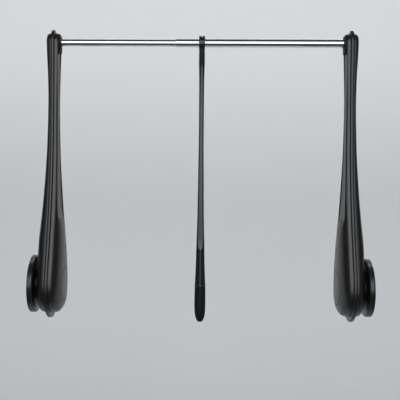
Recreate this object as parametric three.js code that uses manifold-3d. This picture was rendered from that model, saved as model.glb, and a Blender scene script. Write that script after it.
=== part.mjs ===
// Pull down closet rod: two sprung arms on wall flanges, a telescopic rail and a pull handle.
// Millimetres, +Z up, +X along the rail, -Y towards the person who pulls the handle.
// The origin is the middle of the left flange's wall face, on the axis that the arms turn about.

import * as THREE from "three";
import { mergeVertices } from "three/addons/utils/BufferGeometryUtils.js";
import Module from "manifold-3d";

const manifold = await Module();
manifold.setup();

// Fits
const seatGap = 0.3; // between pieces that rest on each other
const runGap = 0.4; // between pieces that turn or slide
const cutOverrun = 5; // how far a cutting tool passes the face that it cuts
const mergeTolerance = 1e-4;

// The whole fitting
const interiorWidth = 900; // between the two wall faces
const railHeight = 650; // rail axis above the pivot
const ridgePlane = 51; // from the wall to the middle of the arm's ridge

// Round flange on the wall
const flangeRadius = 76;
const flangeDepth = 15;
const flangeEdge = 5; // rounding of the front edge
const coverWall = 2.5;
const coverHoleRadius = 30;
const plateThickness = 3;
const screwHoleRadius = 2.6;
const screwHoleCircle = 54; // radius that the screw holes lie on
const screwHoleCount = 4;
const hubRingOuter = 38;
const hubRingInner = 24;
const hubRingThickness = 3.4;

// Shaft, gear and racks
const shaftFlangeRadius = 26;
const shaftFlangeThickness = 4;
const shaftRadius = 12;
const gearSeatRadius = 8;
const threadRadius = 6;
const threadLength = 9;
const nutRadius = 11;
const nutThickness = 6;
const nutSides = 6;
const gearModule = 1.5;
const gearTeeth = 20;
const gearWidth = 10;
const gearStandOff = 2.3; // from the spine to the gear
const backlash = 0.12; // taken off each flank
const toothDepthShare = 1.25; // gap below the pitch line as a share of the module
const rackTipShare = 0.9; // rack tooth above the pitch line as a share of the module
const pressureAngle = THREE.MathUtils.degToRad(20);
const rackWidth = 9;
const rackBacking = 4.6; // solid metal behind the rack's teeth
const rackTeethSpare = 3; // teeth past the mesh point at both ends of the travel
const rackHeadHeight = 16;
const rackHeadGap = 1.5; // between the damper rack and the guide block at the limit
const rodRadius = 2.5;
const swingLimit = THREE.MathUtils.degToRad(105);

// Spring and damper
const springRadius = 6.5;
const springBore = 4.2;
const springLengthShare = 0.206; // of the rail height, as the arm's outline is
const springCapThickness = 5;
const rodHeadRadius = 4.5;
const rodHeadHeight = 3.5;
const damperRadius = 6.5;
const damperBore = 4.9;
const damperLength = 108;
const damperEnd = 3.8; // thickness of the damper's end walls
const pistonHeight = 8;
const pistonRest = 4; // piston above the damper's lower end wall at rest
const guideHeight = 14;
const guideMargin = 1.5; // guide block beside the spring
const guideFront = 9; // guide block in front of the rods

// Arm
const bulgeHalfDepth = 83; // half of the ridge's front to back size at the pivot
const bulgeCentreDrop = 5; // widest place below the pivot
const ridgeDrop = 85; // ridge below its widest place
const ridgeRise = 34; // ridge above the rail axis
const innerBulge = 38; // arm's thickness from the ridge plane towards the rail
const outerBulge = 31; // the same towards the wall
const spineThickness = 9.4;
const spineEdge = 1.3; // chamfer on the ridge
const ridgeStandOut = 3.5; // ridge proud of the shells along the sides
const ridgeStandOutBottom = 14;
const ridgeStandOutTop = 9;
const shellWall = 2.6;
const bushWall = 2.6;
const bushFlange = 2;
const bushFlangeReach = 4;

// Pivot cap, inlay strip and screws on the arm's inner face
const capRadius = 45.5;
const capThickness = 2.4;
const capCrown = 2.2;
const capBossRadius = 9;
const capBossGap = 1.6; // between the shaft's end and the cap's boss
const stripBottom = 157; // lower end of the strip above the pivot
const stripTopGap = 11; // from the strip's upper end to the upper screw
const stripThickness = 1;
const stripSink = 0.2; // strip below the shell's face
const lowerScrewHeight = 99;
const lowerScrewRadius = 3;
const lowerScrewShank = 1.8;
const upperScrewDrop = 19; // upper screw below the rail axis
const upperScrewRadius = 2.2;
const upperScrewShank = 1.3;
const screwHeadHeight = 2.2;
const screwRecess = 0.6;
const driveSlotWidth = 0.9;
const driveSlotDepth = 0.8;

// Rail
const innerTubeRadius = 10;
const outerTubeRadius = 11.5;
const tubeWall = 1.2;
const outerTubeStart = 381; // from the left wall to the outer tube's open end
const innerTubeEnd = 560;
const socketWall = 2.7;
const socketFloor = 3;
const socketProud = 1; // socket beyond the arm's inner face
const plugDepth = 15;
const plugFlange = 4;

// Pull handle
const handlePlace = 451; // from the left wall to the middle of the handle
const handleBushLength = 15.8;
const handleBushWall = 2.1;
const handleHeadRadius = 19.5;
const handleHeadWidth = 16.2;
const handleGrooveWidth = 4.6;
const handleGrooveDepth = 2.4;
const handleNeckDrop = 26; // bottom of the head's neck below the rail axis
const handleNeckWidth = 15;
const handleNeckDepth = 11;
const dowelRadius = 2;
const dowelLength = 22;
const dowelInset = 4; // dowel below the head's bore
const handleHalfWidth = 14.2; // half of the handle's width at the grip collar
const handleDepthShare = 0.8; // the handle's depth as a share of its width
const collarHeight = 7.4;
const collarTop = 4.7; // collar's top above the pivot
const collarProud = 0.7;
const tangRadius = 5;
const tangLength = 62;
const gripHalfWidth = 14.9;
const gripBottom = 97.7; // grip's end below the pivot
const gripGap = 5; // grip's bore beyond the tang

// Roundness
const largeSteps = 40;
const mediumSteps = 20;
const smallSteps = 10;

// Height, half depth, inner thickness and outer thickness along the arm, from its widest
// place to the rail, each as a share of its size.
const armShares = [
  [0, 1, 1, 1],
  [0.053, 0.955, 0.998, 1],
  [0.105, 0.86, 0.98, 1],
  [0.188, 0.7, 0.916, 0.985],
  [0.267, 0.54, 0.829, 0.854],
  [0.351, 0.416, 0.748, 0.713],
  [0.45, 0.315, 0.651, 0.582],
  [0.557, 0.241, 0.568, 0.47],
  [0.74, 0.211, 0.497, 0.39],
  [0.863, 0.219, 0.54, 0.442],
  [0.924, 0.235, 0.582, 0.517],
  [1, 0.265, 0.608, 0.585],
];

// How a shell rounds off: reach from the middle line and height above the rim, as shares.
const shellShares = [
  [1, 0],
  [0.98, 0.35],
  [0.88, 0.75],
  [0.68, 0.96],
  [0.44, 1],
];
const shellInsideShares = [
  [1, 0],
  [0.95, 0.55],
  [0.76, 0.92],
  [0.44, 1],
];
const stripWidthShare = 0.4; // strip's half width as a share of the shell's

// Height above the handle's lower end of its shaft and half width there, as shares.
const handleShares = [
  [0, 1],
  [0.018, 0.955],
  [0.061, 0.875],
  [0.105, 0.81],
  [0.19, 0.73],
  [0.3, 0.612],
  [0.43, 0.55],
  [0.58, 0.468],
  [0.67, 0.45],
  [0.84, 0.472],
  [0.925, 0.515],
  [0.955, 0.555],
  [1, 0.557],
];
// The handle's section: a flat front and back with slanted sides.
const facetShares = [
  [0.5, 1],
  [1, 0.35],
  [1, -0.35],
  [0.5, -1],
  [-0.5, -1],
  [-1, -0.35],
  [-1, 0.35],
  [-0.5, 1],
];
const gripShares = [
  [0, 0.93],
  [0.3, 0.98],
  [0.6, 1],
  [0.8, 0.95],
  [0.91, 0.78],
  [0.97, 0.5],
  [1, 0],
];

// Sizes that follow from the ones above
const spineInnerFace = ridgePlane + spineThickness / 2;
const spineOuterFace = ridgePlane - spineThickness / 2;
const shellRim = spineThickness / 2 + seatGap;
const widestHeight = -bulgeCentreDrop;
const gearStart = spineInnerFace + gearStandOff;
const mechanismPlane = gearStart + gearWidth / 2;
const gearPitchRadius = (gearModule * gearTeeth) / 2;
const toothPitch = Math.PI * gearModule;
const rackTravel = gearPitchRadius * swingLimit;
const rackTeethReach = Math.ceil(rackTravel / toothPitch) + rackTeethSpare;
const upperScrewHeight = railHeight - upperScrewDrop;
const stripTop = upperScrewHeight - stripTopGap;
const guideBottom = lowerScrewHeight - guideHeight / 2;
const rackHeadTop = guideBottom - rackHeadGap - rackTravel;
const guideTop = lowerScrewHeight + guideHeight / 2;
const springBottom = guideTop + seatGap;
const springTop = springBottom + railHeight * springLengthShare;
const capBottom = springTop + seatGap;
const capTop = capBottom + springCapThickness;
const damperBottom = guideTop + seatGap;
const handleShaftBottom = collarTop + seatGap;
const handleShaftTop = railHeight - handleNeckDrop - seatGap;
const bushRadius = shaftRadius + runGap + bushWall;

// Colours and finishes
const finishes = {
  satinBlack: { color: 0x2a2b2e, roughness: 0.42, metalness: 0 },
  deepBlack: { color: 0x18191b, roughness: 0.5, metalness: 0 },
  rubberBlack: { color: 0x1c2024, roughness: 0.75, metalness: 0 },
  chrome: { color: 0xdedfe0, roughness: 0.08, metalness: 1 },
  zincSteel: { color: 0xa9abad, roughness: 0.35, metalness: 1 },
  springSteel: { color: 0x6f7275, roughness: 0.4, metalness: 1 },
  brass: { color: 0xb8975a, roughness: 0.35, metalness: 1 },
  nylon: { color: 0xd8d6cf, roughness: 0.5, metalness: 0 },
};

function piece(name, geometry, finish) {
  const mesh = new THREE.Mesh(geometry, new THREE.MeshStandardMaterial(finishes[finish]));
  mesh.name = name;
  return mesh;
}

// Shared vertices only, and no triangle without an area
function tidied(geometry) {
  const bare = geometry.clone();
  bare.deleteAttribute("normal");
  bare.deleteAttribute("uv");
  const merged = mergeVertices(bare, mergeTolerance);
  const index = [];
  for (let i = 0; i < merged.index.count; i += 3) {
    const a = merged.index.getX(i);
    const b = merged.index.getX(i + 1);
    const c = merged.index.getX(i + 2);
    if (a !== b && b !== c && c !== a) index.push(a, b, c);
  }
  merged.setIndex(index);
  merged.computeVertexNormals();
  return merged;
}

function solidOf(geometry) {
  const clean = tidied(geometry);
  return new manifold.Manifold(
    new manifold.Mesh({
      numProp: 3,
      vertProperties: new Float32Array(clean.attributes.position.array),
      triVerts: new Uint32Array(clean.index.array),
    }),
  );
}

function geometryOf(solid) {
  const mesh = solid.getMesh();
  const geometry = new THREE.BufferGeometry();
  geometry.setAttribute("position", new THREE.BufferAttribute(mesh.vertProperties, 3));
  geometry.setIndex(new THREE.BufferAttribute(mesh.triVerts, 1));
  return tidied(geometry);
}

function cut(body, tools) {
  const solid = tools.reduce((left, tool) => left.subtract(solidOf(tool)), solidOf(body));
  return geometryOf(solid);
}

function join(body, others) {
  const solid = others.reduce((left, other) => left.add(solidOf(other)), solidOf(body));
  return geometryOf(solid);
}

// A copy seen in a mirror across X or Y, with its faces turned out again
function mirrored(geometry, signX, signY) {
  const copy = tidied(geometry).scale(signX, signY, 1);
  const index = copy.index.array;
  for (let i = 0; i < index.length; i += 3) {
    [index[i], index[i + 1]] = [index[i + 1], index[i]];
  }
  copy.computeVertexNormals();
  return copy;
}

// A profile of [radius, place along the axis] turned about the X axis
function turnedAlongX(profile, steps) {
  const points = profile.map(([radius, place]) => new THREE.Vector2(radius, place));
  return tidied(new THREE.LatheGeometry(points, steps).rotateZ(-Math.PI / 2));
}

function turnedAlongZ(profile, steps) {
  const points = profile.map(([radius, place]) => new THREE.Vector2(radius, place));
  return tidied(new THREE.LatheGeometry(points, steps).rotateX(Math.PI / 2));
}

function rodAlongX(radius, start, end, steps) {
  return turnedAlongX([[0, start], [radius, start], [radius, end], [0, end]], steps);
}

function rodAlongZ(radius, bottom, top, steps) {
  return turnedAlongZ([[0, bottom], [radius, bottom], [radius, top], [0, top]], steps);
}

function ringAlongX(bore, radius, start, end, steps) {
  const profile = [[bore, start], [radius, start], [radius, end], [bore, end], [bore, start]];
  return turnedAlongX(profile, steps);
}

function block(low, high) {
  const size = high.map((value, axis) => value - low[axis]);
  const middle = high.map((value, axis) => (value + low[axis]) / 2);
  return new THREE.BoxGeometry(...size).translate(...middle);
}

// An outline in Y and Z given thickness along X
function plateAlongX(points, start, end, chamfer = 0) {
  const shape = new THREE.Shape(points);
  const geometry = new THREE.ExtrudeGeometry(shape, {
    depth: end - start - 2 * chamfer,
    bevelEnabled: chamfer > 0,
    bevelThickness: chamfer,
    bevelSize: chamfer,
    bevelOffset: -chamfer,
    bevelSegments: 1,
  });
  const turn = new THREE.Matrix4().makeBasis(
    new THREE.Vector3(0, 1, 0),
    new THREE.Vector3(0, 0, 1),
    new THREE.Vector3(1, 0, 0),
  );
  return tidied(geometry.applyMatrix4(turn).translate(start + chamfer, 0, 0));
}

// A smooth value through the arm's shares at a height above the widest place
function armShareAt(heightShare, column) {
  const last = armShares.length - 1;
  const next = armShares.findIndex((row, i) => i > 0 && (heightShare <= row[0] || i === last));
  const slope = (i) => {
    const before = armShares[Math.max(i - 1, 0)];
    const after = armShares[Math.min(i + 1, last)];
    return i === 0 ? 0 : (after[column] - before[column]) / (after[0] - before[0]);
  };
  const [low, high] = [armShares[next - 1], armShares[next]];
  const width = high[0] - low[0];
  const t = THREE.MathUtils.clamp((heightShare - low[0]) / width, 0, 1);
  const square = t * t;
  const cube = square * t;
  return (
    (2 * cube - 3 * square + 1) * low[column] +
    (cube - 2 * square + t) * width * slope(next - 1) +
    (3 * square - 2 * cube) * high[column] +
    (cube - square) * width * slope(next)
  );
}

function armSizeAt(height, column, size) {
  return size * armShareAt((height - widestHeight) / (railHeight - widestHeight), column);
}

// The arm's outline in Y and Z, counterclockwise from its lowest point, drawn in from the ridge
const outlineSteps = { bottom: 6, side: 14, top: 3 };

function armOutline(sideInset, bottomInset, topInset) {
  const right = [];
  const bottom = outlineSteps.bottom;
  for (let i = 0; i < bottom; i += 1) {
    const angle = (i / bottom) * (Math.PI / 2);
    const drop = (ridgeDrop - bottomInset) * Math.cos(angle);
    right.push([(bulgeHalfDepth - sideInset) * Math.sin(angle), widestHeight - drop]);
  }
  for (let i = 0; i <= outlineSteps.side; i += 1) {
    const height = widestHeight + (i / outlineSteps.side) * (railHeight - widestHeight);
    right.push([armSizeAt(height, 1, bulgeHalfDepth) - sideInset, height]);
  }
  const headHalfDepth = armSizeAt(railHeight, 1, bulgeHalfDepth) - sideInset;
  for (let i = 1; i <= outlineSteps.top; i += 1) {
    const angle = (i / outlineSteps.top) * (Math.PI / 2);
    const rise = (ridgeRise - topInset) * Math.sin(angle);
    right.push([headHalfDepth * Math.cos(angle), railHeight + rise]);
  }
  right[0][0] = 0;
  right[right.length - 1][0] = 0;
  const left = right.slice(1, -1).reverse().map(([depth, height]) => [-depth, height]);
  return right.concat(left);
}

// One skin of a shell: rings of points that close in on the arm's middle line as they rise
function shellRings(outline, roundingShares, bulge, column, wall) {
  return roundingShares.map(([reach, rise]) =>
    outline.map(([depth, height]) => {
      const middle = THREE.MathUtils.clamp(height, widestHeight, railHeight);
      const ringHeight = middle + (height - middle) * reach;
      const thickness = armSizeAt(middle, column, bulge) - wall - shellRim;
      return [shellRim + rise * thickness, depth * reach, ringHeight];
    }),
  );
}

function armShell(bulge, column) {
  const outside = armOutline(ridgeStandOut, ridgeStandOutBottom, ridgeStandOutTop);
  const inside = armOutline(
    ridgeStandOut + shellWall,
    ridgeStandOutBottom + shellWall,
    ridgeStandOutTop + shellWall,
  );
  const outerRings = shellRings(outside, shellShares, bulge, column, 0);
  const innerRings = shellRings(inside, shellInsideShares, bulge, column, shellWall);
  const count = outside.length;
  const half = count / 2;
  const positions = [...outerRings, ...innerRings].flat(2);
  const index = [];
  const quad = (a, b, c, d) => index.push(a, b, c, a, c, d);
  const skin = (firstRing, ringCount, flipped) => {
    const at = (ring, i) => (firstRing + ring) * count + (i % count);
    const face = (a, b, c, d) => (flipped ? quad(d, c, b, a) : quad(a, b, c, d));
    for (let ring = 0; ring < ringCount - 1; ring += 1) {
      for (let i = 0; i < count; i += 1) {
        face(at(ring, i), at(ring, i + 1), at(ring + 1, i + 1), at(ring + 1, i));
      }
    }
    const last = ringCount - 1;
    for (let i = 0; i < half; i += 1) {
      face(at(last, count - i), at(last, i), at(last, i + 1), at(last, count - i - 1));
    }
  };
  skin(0, outerRings.length, false);
  skin(outerRings.length, innerRings.length, true);
  for (let i = 0; i < count; i += 1) {
    const j = (i + 1) % count;
    const inner = outerRings.length * count;
    quad(i, inner + i, inner + j, j);
  }
  const geometry = new THREE.BufferGeometry();
  geometry.setAttribute("position", new THREE.Float32BufferAttribute(positions, 3));
  geometry.setIndex(index);
  return tidied(geometry);
}

// The inner face's distance from the wall at a height
function innerFaceAt(height) {
  const middle = THREE.MathUtils.clamp(height, widestHeight, railHeight);
  return ridgePlane + armSizeAt(middle, 2, innerBulge);
}

// The strip along the inner face: a U at its lower end, and square at the top
const stripSteps = { end: 4, side: 12 };

function stripBody(clearance, below, above) {
  const halfWidthAt = (height) => {
    const shellHalf = armSizeAt(height, 1, bulgeHalfDepth) - ridgeStandOut;
    return shellHalf * stripWidthShare + clearance;
  };
  const endRadius = halfWidthAt(stripBottom);
  const rows = [];
  for (let i = 0; i < stripSteps.end; i += 1) {
    const angle = (i / stripSteps.end) * (Math.PI / 2);
    const height = stripBottom + endRadius - clearance - endRadius * Math.cos(angle);
    rows.push([halfWidthAt(stripBottom + endRadius) * Math.sin(angle), height]);
  }
  const sideStart = stripBottom + endRadius - clearance;
  const sideEnd = stripTop + clearance;
  for (let i = 0; i <= stripSteps.side; i += 1) {
    const height = sideStart + (i / stripSteps.side) * (sideEnd - sideStart);
    rows.push([halfWidthAt(Math.max(height, stripBottom + endRadius)), height]);
  }
  const positions = [];
  rows.forEach(([half, height]) => {
    const face = innerFaceAt(height);
    positions.push(face - below, -half, height, face + above, -half, height);
    positions.push(face + above, half, height, face - below, half, height);
  });
  const index = [];
  const quad = (a, b, c, d) => index.push(a, b, c, a, c, d);
  for (let row = 0; row < rows.length - 1; row += 1) {
    const low = row * 4;
    for (let side = 0; side < 4; side += 1) {
      const next = (side + 1) % 4;
      quad(low + side, low + next, low + 4 + next, low + 4 + side);
    }
  }
  const top = (rows.length - 1) * 4;
  quad(3, 2, 1, 0);
  quad(top, top + 1, top + 2, top + 3);
  const geometry = new THREE.BufferGeometry();
  geometry.setAttribute("position", new THREE.Float32BufferAttribute(positions, 3));
  geometry.setIndex(index);
  return tidied(geometry);
}

// Wall flange
function wallPlate() {
  const radius = flangeRadius - coverWall - runGap;
  const holes = [];
  for (let i = 0; i < screwHoleCount; i += 1) {
    const angle = ((i + 0.5) / screwHoleCount) * 2 * Math.PI;
    const hole = rodAlongX(screwHoleRadius, -cutOverrun, plateThickness + cutOverrun, smallSteps);
    const place = [screwHoleCircle * Math.cos(angle), screwHoleCircle * Math.sin(angle)];
    holes.push(hole.translate(0, ...place));
  }
  return cut(rodAlongX(radius, 0, plateThickness, largeSteps), holes);
}

function baseCover() {
  const profile = [[flangeRadius - coverWall, 0], [flangeRadius, 0]];
  const edgeSteps = 3;
  for (let i = 0; i <= edgeSteps; i += 1) {
    const angle = (i / edgeSteps) * (Math.PI / 2);
    profile.push([
      flangeRadius - flangeEdge + flangeEdge * Math.cos(angle),
      flangeDepth - flangeEdge + flangeEdge * Math.sin(angle),
    ]);
  }
  profile.push([coverHoleRadius, flangeDepth]);
  profile.push([coverHoleRadius, flangeDepth - coverWall]);
  profile.push([flangeRadius - flangeEdge, flangeDepth - coverWall]);
  profile.push([flangeRadius - coverWall, flangeDepth - flangeEdge]);
  profile.push([flangeRadius - coverWall, 0]);
  return turnedAlongX(profile, largeSteps);
}

function hubRing() {
  const start = flangeDepth + seatGap;
  return ringAlongX(hubRingInner, hubRingOuter, start, start + hubRingThickness, largeSteps);
}

function pivotShaft() {
  const start = plateThickness + seatGap;
  const shoulder = gearStart - seatGap;
  const seatEnd = gearStart + gearWidth;
  return turnedAlongX(
    [
      [0, start],
      [shaftFlangeRadius, start],
      [shaftFlangeRadius, start + shaftFlangeThickness],
      [shaftRadius, start + shaftFlangeThickness],
      [shaftRadius, shoulder],
      [gearSeatRadius, shoulder],
      [gearSeatRadius, seatEnd],
      [threadRadius, seatEnd],
      [threadRadius, seatEnd + threadLength],
      [0, seatEnd + threadLength],
    ],
    mediumSteps,
  );
}

// Gear and racks
function involute(angle) {
  return Math.tan(angle) - angle;
}

function fixedGear() {
  const baseRadius = gearPitchRadius * Math.cos(pressureAngle);
  const tipRadius = gearPitchRadius + gearModule;
  const rootRadius = gearPitchRadius - toothDepthShare * gearModule;
  const flankRadii = [baseRadius, gearPitchRadius, tipRadius];
  const halfAngleAt = (radius) => {
    const rollAngle = Math.acos(Math.min(baseRadius / radius, 1));
    const slack = backlash / gearPitchRadius;
    return Math.PI / (2 * gearTeeth) - slack + involute(pressureAngle) - involute(rollAngle);
  };
  const points = [];
  for (let tooth = 0; tooth < gearTeeth; tooth += 1) {
    const middle = (tooth / gearTeeth) * 2 * Math.PI;
    const flank = [[rootRadius, halfAngleAt(baseRadius)]];
    flankRadii.forEach((radius) => flank.push([radius, halfAngleAt(radius)]));
    const rising = flank.map(([radius, half]) => [radius, middle - half]);
    const falling = flank.map(([radius, half]) => [radius, middle + half]).reverse();
    rising.concat(falling).forEach(([radius, angle]) => {
      points.push(new THREE.Vector2(radius * Math.cos(angle), radius * Math.sin(angle)));
    });
  }
  const blank = plateAlongX(points, gearStart, gearStart + gearWidth);
  const bore = rodAlongX(
    gearSeatRadius + seatGap,
    gearStart - cutOverrun,
    gearStart + gearWidth + cutOverrun,
    mediumSteps,
  );
  return cut(blank, [bore]);
}

// Rack on the +Y side of the gear with a gap between two teeth at the pivot's height
function rackBody(teethAbove, teethBelow, rodTop) {
  const tip = gearPitchRadius - rackTipShare * gearModule;
  const root = gearPitchRadius + toothDepthShare * gearModule;
  const back = root + rackBacking;
  const slant = Math.tan(pressureAngle);
  const halfTip = toothPitch / 4 - backlash - (gearPitchRadius - tip) * slant;
  const halfRoot = toothPitch / 4 - backlash + (root - gearPitchRadius) * slant;
  const points = [];
  for (let tooth = -teethBelow; tooth < teethAbove; tooth += 1) {
    const middle = (tooth + 0.5) * toothPitch;
    points.push(new THREE.Vector2(root, middle - halfRoot));
    points.push(new THREE.Vector2(tip, middle - halfTip));
    points.push(new THREE.Vector2(tip, middle + halfTip));
    points.push(new THREE.Vector2(root, middle + halfRoot));
  }
  points.push(new THREE.Vector2(root, rackHeadTop));
  points.push(new THREE.Vector2(back, rackHeadTop));
  points.push(new THREE.Vector2(back, -teethBelow * toothPitch));
  points.push(new THREE.Vector2(root, -teethBelow * toothPitch));
  const start = mechanismPlane - rackWidth / 2;
  const bar = plateAlongX(points.reverse(), start, start + rackWidth);
  const head = block(
    [start, gearPitchRadius - rodRadius - seatGap, rackHeadTop - rackHeadHeight],
    [start + rackWidth, back, rackHeadTop],
  );
  const rod = rodAlongZ(rodRadius, rackHeadTop - rackHeadHeight / 2, rodTop, smallSteps);
  return join(bar, [head, rod.translate(mechanismPlane, gearPitchRadius, 0)]);
}

function springRack() {
  const headBottom = capTop + seatGap;
  const end = rodAlongZ(rodHeadRadius, headBottom, headBottom + rodHeadHeight, smallSteps);
  const body = rackBody(rackTeethReach, rackTeethSpare, headBottom + rodHeadHeight / 2);
  return join(body, [end.translate(mechanismPlane, gearPitchRadius, 0)]);
}


function damperRack() {
  const pistonBottom = damperBottom + damperEnd + pistonRest;
  const piston = rodAlongZ(
    damperBore - seatGap,
    pistonBottom,
    pistonBottom + pistonHeight,
    smallSteps,
  );
  const body = rackBody(rackTeethSpare, rackTeethReach, pistonBottom + pistonHeight / 2);
  const whole = join(body, [piston.translate(mechanismPlane, gearPitchRadius, 0)]);
  return mirrored(whole, 1, -1);
}

function liftSpring() {
  const profile = [
    [springBore, springBottom],
    [springRadius, springBottom],
    [springRadius, springTop],
    [springBore, springTop],
    [springBore, springBottom],
  ];
  return turnedAlongZ(profile, smallSteps).translate(mechanismPlane, gearPitchRadius, 0);
}

function springCap() {
  const bore = rodRadius + seatGap;
  const profile = [
    [bore, capBottom],
    [springRadius, capBottom],
    [springRadius, capTop],
    [bore, capTop],
    [bore, capBottom],
  ];
  return turnedAlongZ(profile, smallSteps).translate(mechanismPlane, gearPitchRadius, 0);
}

function damperCylinder() {
  const top = damperBottom + damperLength;
  const profile = [
    [0, top - damperEnd],
    [damperBore, top - damperEnd],
    [damperBore, damperBottom + damperEnd],
    [rodRadius + runGap, damperBottom + damperEnd],
    [rodRadius + runGap, damperBottom],
    [damperRadius, damperBottom],
    [damperRadius, top],
    [0, top],
  ];
  return turnedAlongZ(profile, smallSteps).translate(mechanismPlane, -gearPitchRadius, 0);
}

function guideBlock() {
  const halfWidth = gearPitchRadius + springRadius + guideMargin;
  const start = spineInnerFace + seatGap;
  const front = mechanismPlane + guideFront;
  const body = block([start, -halfWidth, guideBottom], [front, halfWidth, guideTop]);
  const rodHole = rodAlongZ(
    rodRadius + runGap,
    guideBottom - cutOverrun,
    guideTop + cutOverrun,
    smallSteps,
  );
  const screwHole = rodAlongX(
    lowerScrewShank + seatGap,
    mechanismPlane,
    front + cutOverrun,
    smallSteps,
  );
  return cut(body, [
    rodHole.clone().translate(mechanismPlane, gearPitchRadius, 0),
    rodHole.clone().translate(mechanismPlane, -gearPitchRadius, 0),
    screwHole.translate(0, 0, lowerScrewHeight),
  ]);
}

function shaftNut() {
  const start = gearStart + gearWidth + seatGap;
  const nut = rodAlongX(nutRadius, start, start + nutThickness, nutSides);
  const bore = rodAlongX(
    threadRadius + seatGap,
    start - cutOverrun,
    start + nutThickness + cutOverrun,
    mediumSteps,
  );
  return cut(nut, [bore]);
}

// Arm
function armSpine() {
  const points = armOutline(0, 0, 0).map(([depth, height]) => new THREE.Vector2(depth, height));
  const plate = plateAlongX(points, spineOuterFace, spineInnerFace, spineEdge);
  const bore = rodAlongX(
    bushRadius + seatGap,
    spineOuterFace - cutOverrun,
    spineInnerFace + cutOverrun,
    mediumSteps,
  );
  return cut(plate, [bore]);
}

function spineBush() {
  const bore = shaftRadius + runGap;
  const flangeEnd = spineOuterFace - seatGap;
  const profile = [
    [bore, flangeEnd - bushFlange],
    [bushRadius + bushFlangeReach, flangeEnd - bushFlange],
    [bushRadius + bushFlangeReach, flangeEnd],
    [bushRadius, flangeEnd],
    [bushRadius, spineInnerFace],
    [bore, spineInnerFace],
    [bore, flangeEnd - bushFlange],
  ];
  return turnedAlongX(profile, mediumSteps);
}

function outerShell() {
  const shell = mirrored(armShell(outerBulge, 3), -1, 1).translate(ridgePlane, 0, 0);
  const hole = rodAlongX(
    hubRingInner - shellWall,
    ridgePlane - outerBulge - cutOverrun,
    spineOuterFace - bushFlange - cutOverrun,
    mediumSteps,
  );
  return cut(shell, [hole]);
}

function innerShell(tubeRadius) {
  const shell = armShell(innerBulge, 2).translate(ridgePlane, 0, 0);
  const far = ridgePlane + innerBulge + cutOverrun;
  const capHole = rodAlongX(capRadius + seatGap, mechanismPlane + gearWidth, far, largeSteps);
  const socketHole = rodAlongX(
    tubeRadius + socketWall + 2 * seatGap,
    mechanismPlane,
    far,
    mediumSteps,
  );
  const lowerHole = rodAlongX(lowerScrewShank + seatGap, mechanismPlane, far, smallSteps);
  const lowerFace = innerFaceAt(lowerScrewHeight);
  const lowerSeat = rodAlongX(
    lowerScrewRadius + seatGap,
    lowerFace - screwRecess - screwHeadHeight / 2,
    far,
    smallSteps,
  );
  const upperFace = innerFaceAt(upperScrewHeight);
  const upperHole = rodAlongX(upperScrewShank + seatGap, mechanismPlane, far, smallSteps);
  const upperSeat = rodAlongX(
    upperScrewRadius + seatGap,
    upperFace - screwRecess - screwHeadHeight / 2,
    far,
    smallSteps,
  );
  const recessDepth = stripSink + stripThickness + seatGap;
  return cut(shell, [
    capHole,
    socketHole.translate(0, 0, railHeight),
    lowerHole.translate(0, 0, lowerScrewHeight),
    lowerSeat.translate(0, 0, lowerScrewHeight),
    upperHole.translate(0, 0, upperScrewHeight),
    upperSeat.translate(0, 0, upperScrewHeight),
    stripBody(seatGap, recessDepth, cutOverrun),
  ]);
}

function pivotCap() {
  const edge = ridgePlane + innerBulge - capThickness;
  const bossEnd = gearStart + gearWidth + threadLength + capBossGap;
  const crownSteps = 3;
  const profile = [
    [0, bossEnd],
    [capBossRadius, bossEnd],
    [capBossRadius, edge - capThickness / 2],
    [capRadius, edge - capThickness / 2],
  ];
  for (let i = 0; i <= crownSteps; i += 1) {
    const share = i / crownSteps;
    const radius = capRadius * Math.cos(share * (Math.PI / 2));
    profile.push([i === crownSteps ? 0 : radius, edge + capCrown * Math.sin((share * Math.PI) / 2)]);
  }
  return turnedAlongX(profile, largeSteps);
}

function inlayStrip() {
  return stripBody(0, stripSink + stripThickness, -stripSink);
}

// A screw along X with a slotted head that faces the rail
function faceScrew(headRadius, shankRadius, height, shankEnd) {
  const headTop = innerFaceAt(height) - screwRecess;
  const seat = headTop - screwHeadHeight / 2 + seatGap;
  const body = turnedAlongX(
    [
      [0, shankEnd],
      [shankRadius, shankEnd],
      [shankRadius, seat],
      [headRadius, seat],
      [headRadius, headTop],
      [0, headTop],
    ],
    smallSteps,
  );
  const slot = block(
    [headTop - driveSlotDepth, -driveSlotWidth / 2, -headRadius - cutOverrun],
    [headTop + cutOverrun, driveSlotWidth / 2, headRadius + cutOverrun],
  );
  return cut(body, [slot]).translate(0, 0, height);
}

function railSocket(tubeRadius) {
  const start = spineInnerFace + seatGap;
  const end = innerFaceAt(railHeight) + socketProud;
  const bore = tubeRadius + seatGap;
  const profile = [
    [0, start],
    [bore + socketWall, start],
    [bore + socketWall, end],
    [bore, end],
    [bore, start + socketFloor],
    [0, start + socketFloor],
  ];
  return turnedAlongX(profile, mediumSteps).translate(0, 0, railHeight);
}

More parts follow.
